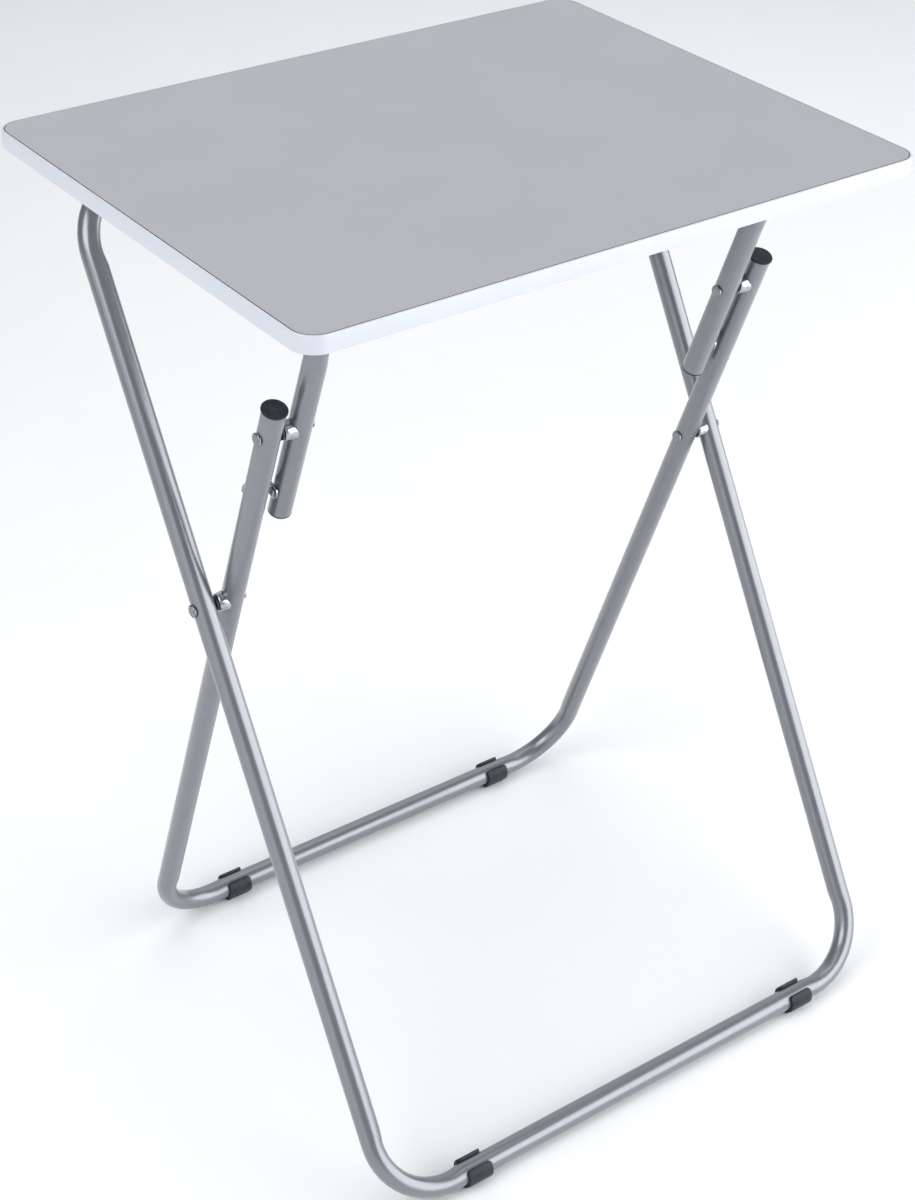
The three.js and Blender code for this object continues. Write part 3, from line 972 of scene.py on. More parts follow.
@dataclass(frozen=True)
class PivotHardware:
    """The rivet, the dark saddle washer that paints the shade on the pivot's low-x side, and the bright
    saddle spacer of one pivot.
    """

    tube: TubeStock = field(default_factory=TubeStock)
    rivet_radius: float = 2.4 * MM
    head_radius: float = 4.6 * MM
    head_height: float = 1.4 * MM
    tail_radius: float = 3.3 * MM
    tail_height: float = 1.3 * MM
    head_dome: float = 1.0 * MM
    tail_dome: float = 0.8 * MM
    dimple_rim: float = 0.5 * MM
    dimple_depth: float = 0.4 * MM
    dimple_taper: float = 0.7
    # the dark washer is painted shade: it always sits on the low-x tube, the side of each pivot away from
    # the light
    washer_thickness: float = 0.8 * MM
    washer: Saddle = Saddle(5.2 * MM, 5.2 * MM, 0.4 * MM, 0.2 * MM)
    spacer: Saddle = Saddle(6.2 * MM, 7 * MM, 3 * MM, 1.3 * MM)

    def rivet(self, low: float, high: float, height: float) -> bpy.types.Object:
        """A domed rivet through two tubes, with its head at low x and its tail at high x.

        Args:
            low: x of the middle of the low tube.
            high: x of the middle of the high tube.
            height: of the pivot in the body's own plane.

        Returns:
            The rivet.
        """
        face = low - self.tube.radius - GAP
        tail = high + self.tube.radius + GAP
        start = Vector((face - self.head_height, 0, height))
        rivet = Bench.rod(self.head_radius, start, Vector((face, 0, height)), HEAD_SIDES)
        flare = self.tail_radius / self.rivet_radius
        with Bench.shaping(rivet):
            Bench.choose(rivet, Part.FACE, lambda _, normal: normal.x > FACING)
            bpy.ops.mesh.inset(thickness=self.head_radius - self.rivet_radius)
            Bench.draw_out(Vector((tail - face, 0, 0)))
            Bench.draw_out(Vector(), Vector((1, flare, flare)))
            Bench.draw_out(Vector((self.tail_height, 0, 0)))
        Bench.round_edges(rivet, lambda place, _: place.x < start.x + SLACK, self.head_dome, steps=7)
        tail_end = tail + self.tail_height
        Bench.round_edges(rivet, lambda place, _: place.x > tail_end - SLACK, self.tail_dome, steps=4)
        with Bench.shaping(rivet):
            Bench.choose(rivet, Part.FACE, lambda place, normal: normal.x > SQUARE_ON and place.x > tail)
            bpy.ops.mesh.inset(thickness=self.dimple_rim)
            taper = Vector((1, self.dimple_taper, self.dimple_taper))
            Bench.draw_out(Vector((-self.dimple_depth, 0, 0)), taper)
        return rivet

    def collar(self, shape: Saddle, tube_x: float, end_x: float, height: float) -> bpy.types.Object:
        """A bored collar from a flat end to a saddle that fits an upright tube.

        Args:
            shape: its outline.
            tube_x: x of the tube's middle.
            end_x: x of the flat end.
            height: of the pivot in the body's own plane.

        Returns:
            The collar.
        """
        toward = math.copysign(1, end_x - tube_x)
        saddle_x = tube_x + toward * (self.tube.radius - shape.lap)
        end = Vector((end_x, 0, height))
        saddle = Vector((saddle_x, 0, height))
        collar = Bench.rod(shape.end_radius, end, saddle, COLLAR_SIDES, shape.saddle_radius)
        Bench.round_edges(collar, lambda place, _: abs(place.x - end_x) < NEAR, shape.soft, steps=5)
        half = Vector((0, 0, 3 * self.tube.radius))
        middle = Vector((tube_x, 0, height))
        seat = Bench.rod(self.tube.radius + GAP, middle - half, middle + half, ROUND_SIDES)
        bore = Bench.rod(self.rivet_radius + GAP, end + (end - saddle), saddle + (saddle - end), SMALL_SIDES)
        Bench.cut(collar, seat, bore)
        return collar

    def hole(self, tube_x: float, height: float) -> bpy.types.Object:
        """The cutter for a rivet's hole through a tube at tube_x."""
        reach = Vector((2 * self.tube.radius, 0, 0))
        middle = Vector((tube_x, 0, height))
        return Bench.rod(self.rivet_radius + GAP, middle - reach, middle + reach, SMALL_SIDES)

    def faces(self, low: float) -> tuple[float, float]:
        """Where the painted-shade washer and the spacer end, for a low tube whose middle is at x = low."""
        shade_washer_end = low + self.tube.radius + GAP + self.washer_thickness
        return shade_washer_end, shade_washer_end + GAP


@dataclass(frozen=True)
class Arm:
    """One tube at a pivot: its body, the body's plane, x of its middle, and the pivot's height on it."""

    body: Body
    seat: Seat
    x: float
    height: float


class Pivots:
    """The two main pivots and the two link pivots."""

    def __init__(self, shop: Workshop, hardware: PivotHardware) -> None:
        """Keeps the workshop and the hardware's sizes."""
        self.shop = shop
        self.hardware = hardware

    def build(self, name: str, holder: Body, arms: tuple[Arm, Arm]) -> None:
        """Makes the three pieces of one pivot.

        Args:
            name: the start of its nodes' names.
            holder: the body that the rivet rides on.
            arms: the two tubes that it joins, in any order.
        """
        low, high = sorted(arms, key=lambda arm: arm.x)
        owner = low if low.body is holder else high
        rivet = self.hardware.rivet(low.x, high.x, owner.height)
        shade_washer_end, spacer_end = self.hardware.faces(low.x)
        washer = self.hardware.collar(self.hardware.washer, low.x, shade_washer_end, low.height)
        spacer = self.hardware.collar(self.hardware.spacer, high.x, spacer_end, high.height)
        for piece, arm, word, finish in (
            (rivet, owner, "rivet", BurnishedPlate()),
            # dark plastic on the washer is painted shade on the pivot's low-x side
            (washer, low, "washer", MouldedPlastic()),
            (spacer, high, "spacer", BrightPlate()),
        ):
            Bench.smooth(piece)
            arm.seat.settle(piece)
            self.shop.present(piece, f"{name}_{word}", arm.body, finish)


# ------------------------------------------------------------------ feet


@dataclass(frozen=True)
class FootMould:
    """A push-fit foot: a plastic strip rolled round the bar, open at the top, with a flat sole."""

    length: float = 20 * MM
    bore: float = 8.3 * MM
    radius: float = 10.6 * MM
    slot: float = math.radians(70)
    pad: float = 9 * MM
    bar_height: float = 11 * MM
    corner: float = 3.4 * MM
    edge: float = 0.45 * MM
    sole_skirt: float = 0.1 * MM
    downward: float = 0.8
    strips: int = 44

    def make(self) -> bpy.types.Object:
        """Rolls one foot about the origin, with its slot upwards."""
        roll = 2 * math.pi - self.slot
        middle = (self.bore + self.radius) / 2
        width = roll * middle
        Bench.clear()
        bpy.ops.mesh.primitive_plane_add(size=1, rotation=(math.pi / 2, 0, 0))
        foot = bpy.context.object
        foot.scale = (self.length, width, 1)
        Bench.fix_place(foot)
        with Bench.shaping(foot, Part.VERTEX):
            bpy.ops.mesh.select_all(action="SELECT")
            bpy.ops.mesh.bevel(affect="VERTICES", offset=self.corner, segments=6)
            for strip in range(1, self.strips):
                bpy.ops.mesh.select_all(action="SELECT")
                height = width * (strip / self.strips - 0.5)
                bpy.ops.mesh.bisect(plane_co=(0, 0, height), plane_no=(0, 0, 1))
        Bench.apply(foot, "SIMPLE_DEFORM", deform_method="BEND", deform_axis="X", angle=roll)
        Bench.apply(foot, "SOLIDIFY", thickness=self.radius - self.bore, offset=0)
        foot.rotation_euler.x = math.pi / 2
        Bench.fix_place(foot)
        self.centre(foot)
        Bench.face_out(foot)
        self.flatten(foot)
        Bench.soften(foot, self.edge, angle=50, steps=3)
        Bench.smooth(foot)
        return foot

    def centre(self, foot: bpy.types.Object) -> None:
        """Moves the roll so that the bar's middle is at the origin."""
        lowest = min(vertex.co.z for vertex in foot.data.vertices)
        foot.location.z = -self.radius - lowest
        Bench.fix_place(foot)

    def flatten(self, foot: bpy.types.Object) -> None:
        """Draws the underside down to a flat sole."""
        floor = Vector((0, 0, -self.bar_height))
        with Bench.shaping(foot):
            Bench.choose(
                foot,
                Part.FACE,
                lambda place, normal: normal.z < -self.downward
                and abs(place.y) < self.pad / 2
                and place.z < -self.bore,
            )
            Bench.draw_out(Vector((0, 0, -self.sole_skirt)))
            bpy.ops.transform.resize(value=(1, 1, 0), center_override=floor)


# ------------------------------------------------------------------ outer legs


@dataclass(frozen=True)
class OuterLegs:
    """The closed ring of tube with its front foot bar and rear top bar, and its two feet."""

    stance: Stance
    shop: Workshop
    tube: TubeStock = field(default_factory=TubeStock)
    hardware: PivotHardware = field(default_factory=PivotHardware)
    foot: FootMould = field(default_factory=FootMould)
    top_bend: float = 45 * MM
    foot_bend: float = 50 * MM
    hole_room: float = 7 * MM  # short stretch of tube to each side of a hole

    @property
    def half_width(self) -> float:
        """From the table's middle to the tube's."""
        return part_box("outer_leg_tube")[1].x - self.tube.radius

    def build(self) -> None:
        """Makes the ring and the feet."""
        bottom = self.stance.along(self.stance.outer_lean, self.foot.bar_height)
        top = self.stance.along(self.stance.outer_lean, self.stance.link_bar.z)
        across, up = Vector((1, 0, 0)), Vector((0, 0, 1))
        ring = self.tube.begin(bottom)
        with Bench.shaping(ring, Part.EDGE):
            bpy.ops.mesh.select_all(action="SELECT")
            self.tube.run(across, self.half_width - self.foot_bend - self.tube.ease)
            corner = Vector((self.half_width, 0, bottom))
            self.tube.turn(corner, across, up, self.foot_bend)
            self.tube.run(up, -bottom - self.foot_bend - self.tube.ease - self.hole_room)
            self.tube.run(up, 2 * self.hole_room)
            self.tube.run(up, top - self.top_bend - self.tube.ease - self.hole_room)
            corner = Vector((self.half_width, 0, top))
            self.tube.turn(corner, up, -across, self.top_bend)
            self.tube.run(-across, self.half_width - self.top_bend - self.tube.ease)
        self.tube.close(ring)
        Bench.cut(ring, *(self.hardware.hole(side.value * self.half_width, 0) for side in Side))
        Bench.smooth(ring)
        self.stance.outer.settle(ring)
        self.shop.present(ring, "outer_leg_tube", Body.OUTER_LEGS, SatinPaint())
        fit_feet(self.foot, "outer_foot", Body.OUTER_LEGS, self.shop)


def fit_feet(mould: FootMould, name: str, body: Body, shop: Workshop) -> None:
    """Makes one foot and copies it to both of its places on a bar.

    Args:
        mould: the foot's sizes.
        name: the start of the CAD nodes' names.
        body: the body that the feet ride on.
        shop: the workshop.
    """
    first = mould.make()
    for side in Side:
        node = f"{name}_{side.word}"
        low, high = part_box(node)
        middle = (low + high) / 2
        place = Vector((middle.x, middle.y, low.z + mould.bar_height))
        shop.present(Bench.copy(first, place), node, body, MouldedPlastic())
    bpy.data.objects.remove(first)


# ------------------------------------------------------------------ inner legs


@dataclass(frozen=True)
class InnerLegs:
    """The U of tube with the rear foot bar, its two feet and the caps on its open ends."""

    stance: Stance
    shop: Workshop
    tube: TubeStock = field(default_factory=TubeStock)
    hardware: PivotHardware = field(default_factory=PivotHardware)
    foot: FootMould = field(default_factory=FootMould)
    foot_bend: float = 50 * MM
    beyond_pivot: float = 22.6 * MM
    hole_room: float = 7 * MM
    cap_radius: float = 8.8 * MM
    cap_height: float = 1.4 * MM
    cap_stem: float = 12 * MM
    stem_radius: float = 6.2 * MM

    @property
    def half_width(self) -> float:
        """From the table's middle to the tube's."""
        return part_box("inner_leg_tube")[1].x - self.tube.radius

    @property
    def link_height(self) -> float:
        """The link pivot's distance above the main pivot, along the legs."""
        return (self.stance.link_pivot - self.stance.main_pivot).length

    def build(self) -> None:
        """Makes the tube, the feet and the caps."""
        bottom = self.stance.along(self.stance.inner_lean, self.foot.bar_height)
        across, up = Vector((1, 0, 0)), Vector((0, 0, 1))
        legs = self.tube.begin(bottom)
        with Bench.shaping(legs, Part.EDGE):
            bpy.ops.mesh.select_all(action="SELECT")
            self.tube.run(across, self.half_width - self.foot_bend - self.tube.ease)
            corner = Vector((self.half_width, 0, bottom))
            self.tube.turn(corner, across, up, self.foot_bend)
            self.tube.run(up, -bottom - self.foot_bend - self.tube.ease - self.hole_room)
            self.tube.run(up, 2 * self.hole_room)
            self.tube.run(up, self.link_height - 2 * self.hole_room)
            self.tube.run(up, 2 * self.hole_room)
            self.tube.run(up, self.beyond_pivot - self.hole_room)
        self.tube.close(legs)
        heights = (0, self.link_height)
        places = [(side.value * self.half_width, height) for side in Side for height in heights]
        Bench.cut(legs, *(self.hardware.hole(x, height) for x, height in places))
        Bench.smooth(legs)
        self.stance.inner.settle(legs)
        self.shop.present(legs, "inner_leg_tube", Body.INNER_LEGS, SatinPaint())
        fit_feet(self.foot, "inner_foot", Body.INNER_LEGS, self.shop)
        self.fit_caps()

    def fit_caps(self) -> None:
        """Makes the end cap once and copies it to both legs."""
        top = self.link_height + self.beyond_pivot
        cap = self.cap()
        for side in Side:
            piece = Bench.copy(cap, Vector((side.value * self.half_width, 0, top)))
            self.stance.inner.settle(piece)
            self.shop.present(piece, f"top_cap_{side.word}", Body.INNER_LEGS, MouldedPlastic())
        bpy.data.objects.remove(cap)

    def cap(self) -> bpy.types.Object:
        """A push-in cap: a flat disc with a slight rim, on a ribbed stem."""
        base, top = Vector((0, 0, GAP)), Vector((0, 0, self.cap_height))
        cap = Bench.rod(self.cap_radius, base, top, ROUND_SIDES)
        rib, rib_height = 1.1, 0.6 * MM
        rim, dish, dish_taper = 0.5 * MM, 0.2 * MM, 0.97
        crown_inset, crown_rise = 4 * MM, 0.08 * MM
        with Bench.shaping(cap):
            Bench.choose(cap, Part.FACE, lambda _, normal: normal.z < -FACING)
            bpy.ops.mesh.inset(thickness=self.cap_radius - self.stem_radius)
            Bench.draw_out(Vector((0, 0, -self.cap_stem / 3)))
            for _ in range(2):
                Bench.draw_out(Vector((0, 0, -rib_height)), Vector((rib, rib, 1)))
                plain = Vector((0, 0, -self.cap_stem / 3 + rib_height))
                Bench.draw_out(plain, Vector((1 / rib, 1 / rib, 1)))
        Bench.round_edges(cap, lambda place, _: place.z > top.z - NEAR, rim, steps=4)
        with Bench.shaping(cap):
            Bench.choose(cap, Part.FACE, lambda _, normal: normal.z > SQUARE_ON)
            bpy.ops.mesh.inset(thickness=rim)
            Bench.draw_out(Vector((0, 0, -dish)), Vector((dish_taper, dish_taper, 1)))
            bpy.ops.mesh.inset(thickness=crown_inset)
            bpy.ops.transform.translate(value=(0, 0, crown_rise))
        Bench.smooth(cap)
        return cap


# ------------------------------------------------------------------ link


@dataclass(frozen=True)
class Link:
    """The upturned U of tube between the inner legs and the board, with its hooks and plugs."""

    stance: Stance
    shop: Workshop
    tube: TubeStock = field(default_factory=TubeStock)
    hardware: PivotHardware = field(default_factory=PivotHardware)
    bend: float = 40 * MM
    beyond_pivot: float = 78 * MM
    hole_room: float = 7 * MM
    plug_height: float = 1.1 * MM
    plug_stem: float = 10 * MM
    stem_radius: float = 6.2 * MM
    hook_length: float = 9 * MM
    hook_thickness: float = 1.6 * MM
    hook_drop: float = 57 * MM  # below the link pivot
    hook_tip: float = 27 * MM  # past the middle of the link's tube
    hook_rivet: float = 1.6 * MM
    hook_rivet_head: float = 3 * MM
    hook_rivet_depth: float = 4 * MM

    @property
    def half_width(self) -> float:
        """From the table's middle to the tube's."""
        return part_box("link_tube")[1].x - self.tube.radius

    def build(self) -> None:
        """Makes the tube, the plugs, the stop hooks and their rivets."""
        top = (self.stance.link_bar - self.stance.link_pivot).length
        across, down = Vector((1, 0, 0)), Vector((0, 0, -1))
        link = self.tube.begin(top)
        with Bench.shaping(link, Part.EDGE):
            bpy.ops.mesh.select_all(action="SELECT")
            self.tube.run(across, self.half_width - self.bend - self.tube.ease)
            self.bend_down(Vector((self.half_width, 0, top)))
            self.tube.run(down, top - self.bend - self.tube.ease - self.hole_room)
            self.tube.run(down, 2 * self.hole_room)
            self.tube.run(down, self.hook_drop - 2 * self.hole_room)
            self.tube.run(down, 2 * self.hole_room)
            self.tube.run(down, self.beyond_pivot - self.hook_drop - self.hole_room)
        self.tube.close(link)
        for side in Side:
            x = side.value * self.half_width
            wall = Vector((x, 0, -self.hook_drop))
            outside = wall + Vector((side.value * 2 * self.tube.radius, 0, 0))
            blind_hole = Bench.rod(self.hook_rivet + GAP, wall, outside, BLIND_SIDES)
            Bench.cut(link, self.hardware.hole(x, 0), blind_hole)
        Bench.smooth(link)
        self.stance.link.settle(link)
        self.shop.present(link, "link_tube", Body.LINK, SatinPaint())
        self.fit_pairs()

    def bend_down(self, corner: Vector) -> None:
        """Bends the top bar's end down into a leg, in edit mode."""
        across, down = Vector((1, 0, 0)), Vector((0, 0, -1))
        before = corner - across * self.bend
        self.tube.pinch(across, before - down * self.tube.radius, down, self.tube.squeeze)
        bpy.ops.mesh.spin(
            steps=self.tube.bend_steps,
            angle=-math.pi / 2,
            center=before + down * self.bend,
            axis=(0, 1, 0),
        )
        after = corner + down * (self.bend + self.tube.ease)
        self.tube.pinch(down, after + across * self.tube.radius, across, 1 / self.tube.squeeze)

    def fit_pairs(self) -> None:
        """Makes each small piece for the right side and copies or mirrors it to the left."""
        plug = self.plug()
        for side in Side:
            place = Vector((side.value * self.half_width, 0, -self.beyond_pivot))
            piece = Bench.copy(plug, place)
            self.hand_over(piece, f"link_plug_{side.word}", MouldedPlastic())
        bpy.data.objects.remove(plug)
        for name, first in (("stop_hook", self.hook()), ("stop_hook_rivet", self.small_rivet())):
            for side in Side:
                piece = Bench.copy(first, Vector(), mirrored=side is Side.LEFT)
                self.hand_over(piece, f"{name}_{side.word}", BrightPlate())
            bpy.data.objects.remove(first)

    def hand_over(self, piece: bpy.types.Object, node: str, finish: Finish) -> None:
        """Settles a piece of the link and presents it."""
        self.stance.link.settle(piece)
        self.shop.present(piece, node, Body.LINK, finish)

    def plug(self) -> bpy.types.Object:
        """A thin push-in plug, with its stem upwards."""
        low = Vector((0, 0, -self.plug_height - GAP))
        lead_in, soft = 0.85, 0.45 * MM
        plug = Bench.rod(self.tube.radius, low, Vector((0, 0, -GAP)), ROUND_SIDES)
        with Bench.shaping(plug):
            Bench.choose(plug, Part.FACE, lambda _, normal: normal.z > FACING)
            bpy.ops.mesh.inset(thickness=self.tube.radius - self.stem_radius)
            Bench.draw_out(Vector((0, 0, self.plug_stem - MM)))
            Bench.draw_out(Vector((0, 0, MM)), Vector((lead_in, lead_in, 1)))
        Bench.round_edges(plug, lambda place, _: place.z < low.z + NEAR, soft, steps=4)
        Bench.smooth(plug)
        return plug

    def hook(self) -> bpy.types.Object:
        """The right stop hook: an L of strip whose lip reaches behind the inner leg."""
        inner_x = self.half_width + self.tube.radius + GAP
        outer_x = inner_x + self.hook_thickness
        lip_y = self.tube.radius + GAP
        tip_x = self.half_width + self.hook_tip
        front_y = -self.hook_length / 2
        hook = Bench.block(
            (self.hook_thickness, lip_y - front_y, self.hook_length),
            ((inner_x + outer_x) / 2, (lip_y + front_y) / 2, -self.hook_drop),
        )
        with Bench.shaping(hook):
            Bench.choose(hook, Part.FACE, lambda _, normal: normal.y > FACING)
            Bench.draw_out(Vector((0, self.hook_thickness, 0)))
            Bench.choose(hook, Part.FACE, lambda place, normal: normal.x > FACING and place.y > lip_y)
            Bench.draw_out(Vector((tip_x - outer_x, 0, 0)))
        corner, bend, edge = 3.2 * MM, 1.3 * MM, 0.22 * MM
        Bench.round_edges(
            hook, lambda place, way: abs(way.y) > FACING and place.x > tip_x - SLACK, corner, steps=6
        )
        Bench.round_edges(
            hook, lambda place, way: abs(way.x) > FACING and place.y < front_y + SLACK, corner, steps=6
        )
        back_y = lip_y + self.hook_thickness - SLACK
        Bench.round_edges(
            hook,
            lambda place, way: abs(way.z) > FACING and place.x < inner_x + SLACK and place.y > back_y,
            bend,
            steps=5,
        )
        Bench.soften(hook, edge, angle=50, steps=2)
        near = Vector((inner_x - MM, 0, -self.hook_drop))
        far = Vector((outer_x + MM, 0, -self.hook_drop))
        Bench.cut(hook, Bench.rod(self.hook_rivet + GAP, near, far, SMALL_SIDES))
        Bench.smooth(hook)
        return hook

    def small_rivet(self) -> bpy.types.Object:
        """The right hook's blind rivet, with its domed head between link and inner leg."""
        seat_x = self.half_width + self.tube.radius + self.hook_thickness + 2 * GAP
        top, dome, rim, dimple = 1.2 * MM, 0.9 * MM, 1.1 * MM, 0.5 * MM
        seat = Vector((seat_x, 0, -self.hook_drop))
        rivet = Bench.rod(self.hook_rivet_head, seat, seat + Vector((top, 0, 0)), SMALL_SIDES)
        depth = seat_x - self.half_width - self.hook_rivet_depth
        with Bench.shaping(rivet):
            Bench.choose(rivet, Part.FACE, lambda _, normal: normal.x < -FACING)
            bpy.ops.mesh.inset(thickness=self.hook_rivet_head - self.hook_rivet)
            Bench.draw_out(Vector((-depth, 0, 0)))
        Bench.round_edges(rivet, lambda place, _: place.x > seat_x + top - NEAR, dome, steps=5)
        with Bench.shaping(rivet):
            Bench.choose(rivet, Part.FACE, lambda _, normal: normal.x > SQUARE_ON)
            bpy.ops.mesh.inset(thickness=rim)
            Bench.draw_out(Vector((-dimple, 0, 0)))
        Bench.smooth(rivet)
        return rivet


# ------------------------------------------------------------------ board


@dataclass(frozen=True)
class Board:
    """The laminated board with its edge band, clips and screws."""

    stance: Stance
    shop: Workshop
    thickness: float = 12 * MM
    corner: float = 17 * MM
    band: float = 1.5 * MM
    band_edge: float = 0.7 * MM
    laminate_edge: float = 0.45 * MM
    clip_edge: float = 0.5 * MM
    flange_corner: float = 4 * MM
    backer: float = 1.2 * MM
    tube_radius: float = 8 * MM
    clip_length: float = 24 * MM
    clip_reach: float = 23 * MM
    clip_wall: float = 2.6 * MM
    bar_drop: float = 11 * MM
    screw_radius: float = 1.8 * MM
    screw_head: float = 3.8 * MM
    screw_head_height: float = 2 * MM
    screw_depth: float = 6.5 * MM
    screw_reach: float = 17.5 * MM
    mouth_rear: float = math.radians(32)
    mouth_front: float = math.radians(4)

    def build(self) -> None:
        """Makes the band, the laminate, the clips and the screws, and dresses the hidden sheets."""
        self.edge_band()
        self.top_laminate()
        self.shop.dress("board_core", PressedBoard())
        self.shop.dress("backing_sheet", BackingSheet())
        for name, maker in (("link_clip", self.link_clip), ("rest_clip", self.rest_clip)):
            self.fit_clips(name, maker())
        self.fit_screws()

    def slab(self, low: Vector, high: Vector, corner: float) -> bpy.types.Object:
        """A block between two corners, with its upright edges rounded."""
        slab = Bench.block(tuple(high - low), tuple((low + high) / 2))
        Bench.round_edges(slab, lambda _, way: abs(way.z) > FACING, corner, steps=14)
        return slab

    def edge_band(self) -> None:
        """The glossy strip round the board's edge."""
        low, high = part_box("edge_band")
        band = self.slab(low, high, self.corner)
        with Bench.shaping(band):
            Bench.choose(band, Part.FACE, lambda _, normal: abs(normal.z) > FACING)
            bpy.ops.mesh.inset(thickness=self.band)
            bpy.ops.mesh.bridge_edge_loops()
        Bench.face_out(band)
        middle = (low + high) / 2
        reach = (high - low) / 2
        straight_reach, corner_reach = 0.2 * MM, 0.8 * MM

        def on_rim(place: Vector, way: Vector) -> bool:
            """True for the edges of the outer rim, above and below."""
            offset = place - middle
            straight = max(abs(offset.x) - reach.x, abs(offset.y) - reach.y)
            cut = reach - Vector((self.corner, self.corner, 0))
            past = Vector((max(0, abs(offset.x) - cut.x), max(0, abs(offset.y) - cut.y)))
            round_corner = min(past) > 0 and past.length > self.corner - corner_reach
            near = straight > -straight_reach or round_corner
            return abs(way.z) < LEVEL and near

        Bench.round_edges(band, on_rim, self.band_edge, steps=4)
        Bench.smooth(band)
        self.shop.present(band, "edge_band", Body.BOARD, EdgeBanding())

    def top_laminate(self) -> None:
        """The grey sheet, whose bevelled edge shows its dark core as a thin line."""
        low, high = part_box("top_laminate")
        sheet = self.slab(low, high, self.corner - self.band - GAP)
        Bench.round_edges(
            sheet,
            lambda place, way: abs(way.z) < LEVEL and place.z > high.z - NEAR,
            self.laminate_edge,
            steps=2,
        )
        self.shop.present(sheet, "top_laminate", Body.BOARD, GreyLaminate())
        sheet.data.materials.append(LaminateCore().make())
        tilted = 0.98
        with Bench.shaping(sheet):
            Bench.choose(sheet, Part.FACE, lambda _, normal: abs(normal.z) < tilted)
            sheet.active_material_index = 1
            bpy.ops.object.material_slot_assign()
        Bench.smooth(sheet, angle=20)

    def flange(self) -> bpy.types.Object:
        """A clip's flange, with its bar's middle at the origin."""
        top = self.bar_drop - GAP
        low = Vector((-self.clip_length / 2, -self.clip_reach, self.tube_radius + GAP))
        high = Vector((self.clip_length / 2, self.clip_reach, top))
        flange = self.slab(low, high, self.flange_corner)
        Bench.round_edges(
            flange,
            lambda place, way: abs(way.z) < LEVEL and place.z < low.z + NEAR,
            self.clip_edge,
            steps=3,
        )
        return flange

    def barrel(self) -> bpy.types.Object:
        """A clip's round body, without its bore, with softened ends."""
        half = Vector((self.clip_length / 2, 0, 0))
        barrel = Bench.rod(self.tube_radius + GAP + self.clip_wall, -half, half, ROUND_SIDES)
        Bench.round_edges(barrel, lambda place, _: abs(place.x) > half.x - NEAR, self.clip_edge, steps=3)
        return barrel

    def cheek(self, front: float, back: float) -> bpy.types.Object:
        """The block that joins a barrel to its flange, between two y values."""
        depth = self.tube_radius + 2 * GAP
        return Bench.block(
            (self.clip_length, back - front, depth), (0, (front + back) / 2, depth / 2)
        )

    def bored(self, clip: bpy.types.Object) -> bpy.types.Object:
        """Cuts the bar's bore and the screw holes."""
        half = Vector((self.clip_length, 0, 0))
        bore = Bench.rod(self.tube_radius + GAP, -half, half, ROUND_SIDES)
        rise = Vector((0, 0, 2 * self.bar_drop))
        holes = []
        for sign in (-1, 1):
            middle = Vector((0, sign * self.screw_reach, 0))
            holes.append(Bench.rod(self.screw_radius + GAP, middle - rise, middle + rise, SMALL_SIDES))
        Bench.cut(clip, bore, *holes)
        Bench.smooth(clip)
        return clip

    def link_clip(self) -> bpy.types.Object:
        """A closed clip that the link's cross bar turns in."""
        clip = self.barrel()
        wide = self.tube_radius + GAP + self.clip_wall
        Bench.cut(clip, self.cheek(-wide, wide), self.flange(), join=True)
        return self.bored(clip)

    def rest_clip(self) -> bpy.types.Object:
        """A clip open below and behind, which the outer legs' top bar leaves as the table folds."""
        clip = self.barrel()
        with Bench.shaping(clip):
            for angle in (self.mouth_front, self.mouth_rear):
                bpy.ops.mesh.select_all(action="SELECT")
                bpy.ops.mesh.bisect(
                    plane_co=(0, 0, 0),
                    plane_no=(0, -math.sin(angle), math.cos(angle)),
                    use_fill=True,
                    clear_inner=True,
                )
        Bench.face_out(clip)
        wide = self.tube_radius + GAP + self.clip_wall
        Bench.cut(clip, self.cheek(-wide, 0), self.flange(), join=True)
        return self.bored(clip)

    def fit_clips(self, name: str, first: bpy.types.Object) -> None:
        """Copies a clip to both of its places and removes the first."""
        for side in Side:
            node = f"{name}_{side.word}"
            low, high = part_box(node)
            middle = (low + high) / 2
            place = Vector((middle.x, middle.y, self.stance.link_bar.z))
            self.shop.present(Bench.copy(first, place), node, Body.BOARD, MouldedPlastic())
        bpy.data.objects.remove(first)

    def fit_screws(self) -> None:
        """Makes one screw and copies it to its eight places."""
        first = self.screw()
        names = [f"{kind}_clip_{side.word}" for kind in ("link", "rest") for side in Side]
        for node in (f"{name}_{end}_screw" for name in names for end in ("front", "rear")):
            low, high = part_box(node)
            middle = (low + high) / 2
            piece = Bench.copy(first, Vector((middle.x, middle.y, low.z)))
            self.shop.present(piece, node, Body.BOARD, BrightPlate())
        bpy.data.objects.remove(first)

    def screw(self) -> bpy.types.Object:
        """A pan-head screw standing on its head, with a cross recess and a pointed end."""
        top, dome = self.screw_head_height, 1.2 * MM
        screw = Bench.rod(self.screw_head, Vector(), Vector((0, 0, top)), HEAD_SIDES)
        clip_flange = self.bar_drop - self.tube_radius - 2 * GAP
        shank = clip_flange + 2 * GAP + self.backer + GAP + self.screw_depth
        thread, turns = 1.14, 5
        point, point_taper = 2 * MM, 0.2
        pitch = (shank - point) / turns
        with Bench.shaping(screw):
            Bench.choose(screw, Part.FACE, lambda _, normal: normal.z > FACING)
            bpy.ops.mesh.inset(thickness=self.screw_head - self.screw_radius / thread)
            for _ in range(turns):
                Bench.draw_out(Vector((0, 0, pitch / 2)), Vector((thread, thread, 1)))
                Bench.draw_out(Vector((0, 0, pitch / 2)), Vector((1 / thread, 1 / thread, 1)))
            Bench.draw_out(Vector((0, 0, point)), Vector((point_taper, point_taper, 1)))
        Bench.round_edges(screw, lambda place, _: place.z < NEAR, dome, steps=5)
        slot, reach, deep = 0.9 * MM, 3.6 * MM, 2 * MM
        for size in ((reach, slot, deep), (slot, reach, deep)):
            Bench.cut(screw, Bench.block(size, (0, 0, 0)))
        Bench.smooth(screw)
        return screw


# ------------------------------------------------------------------ studio


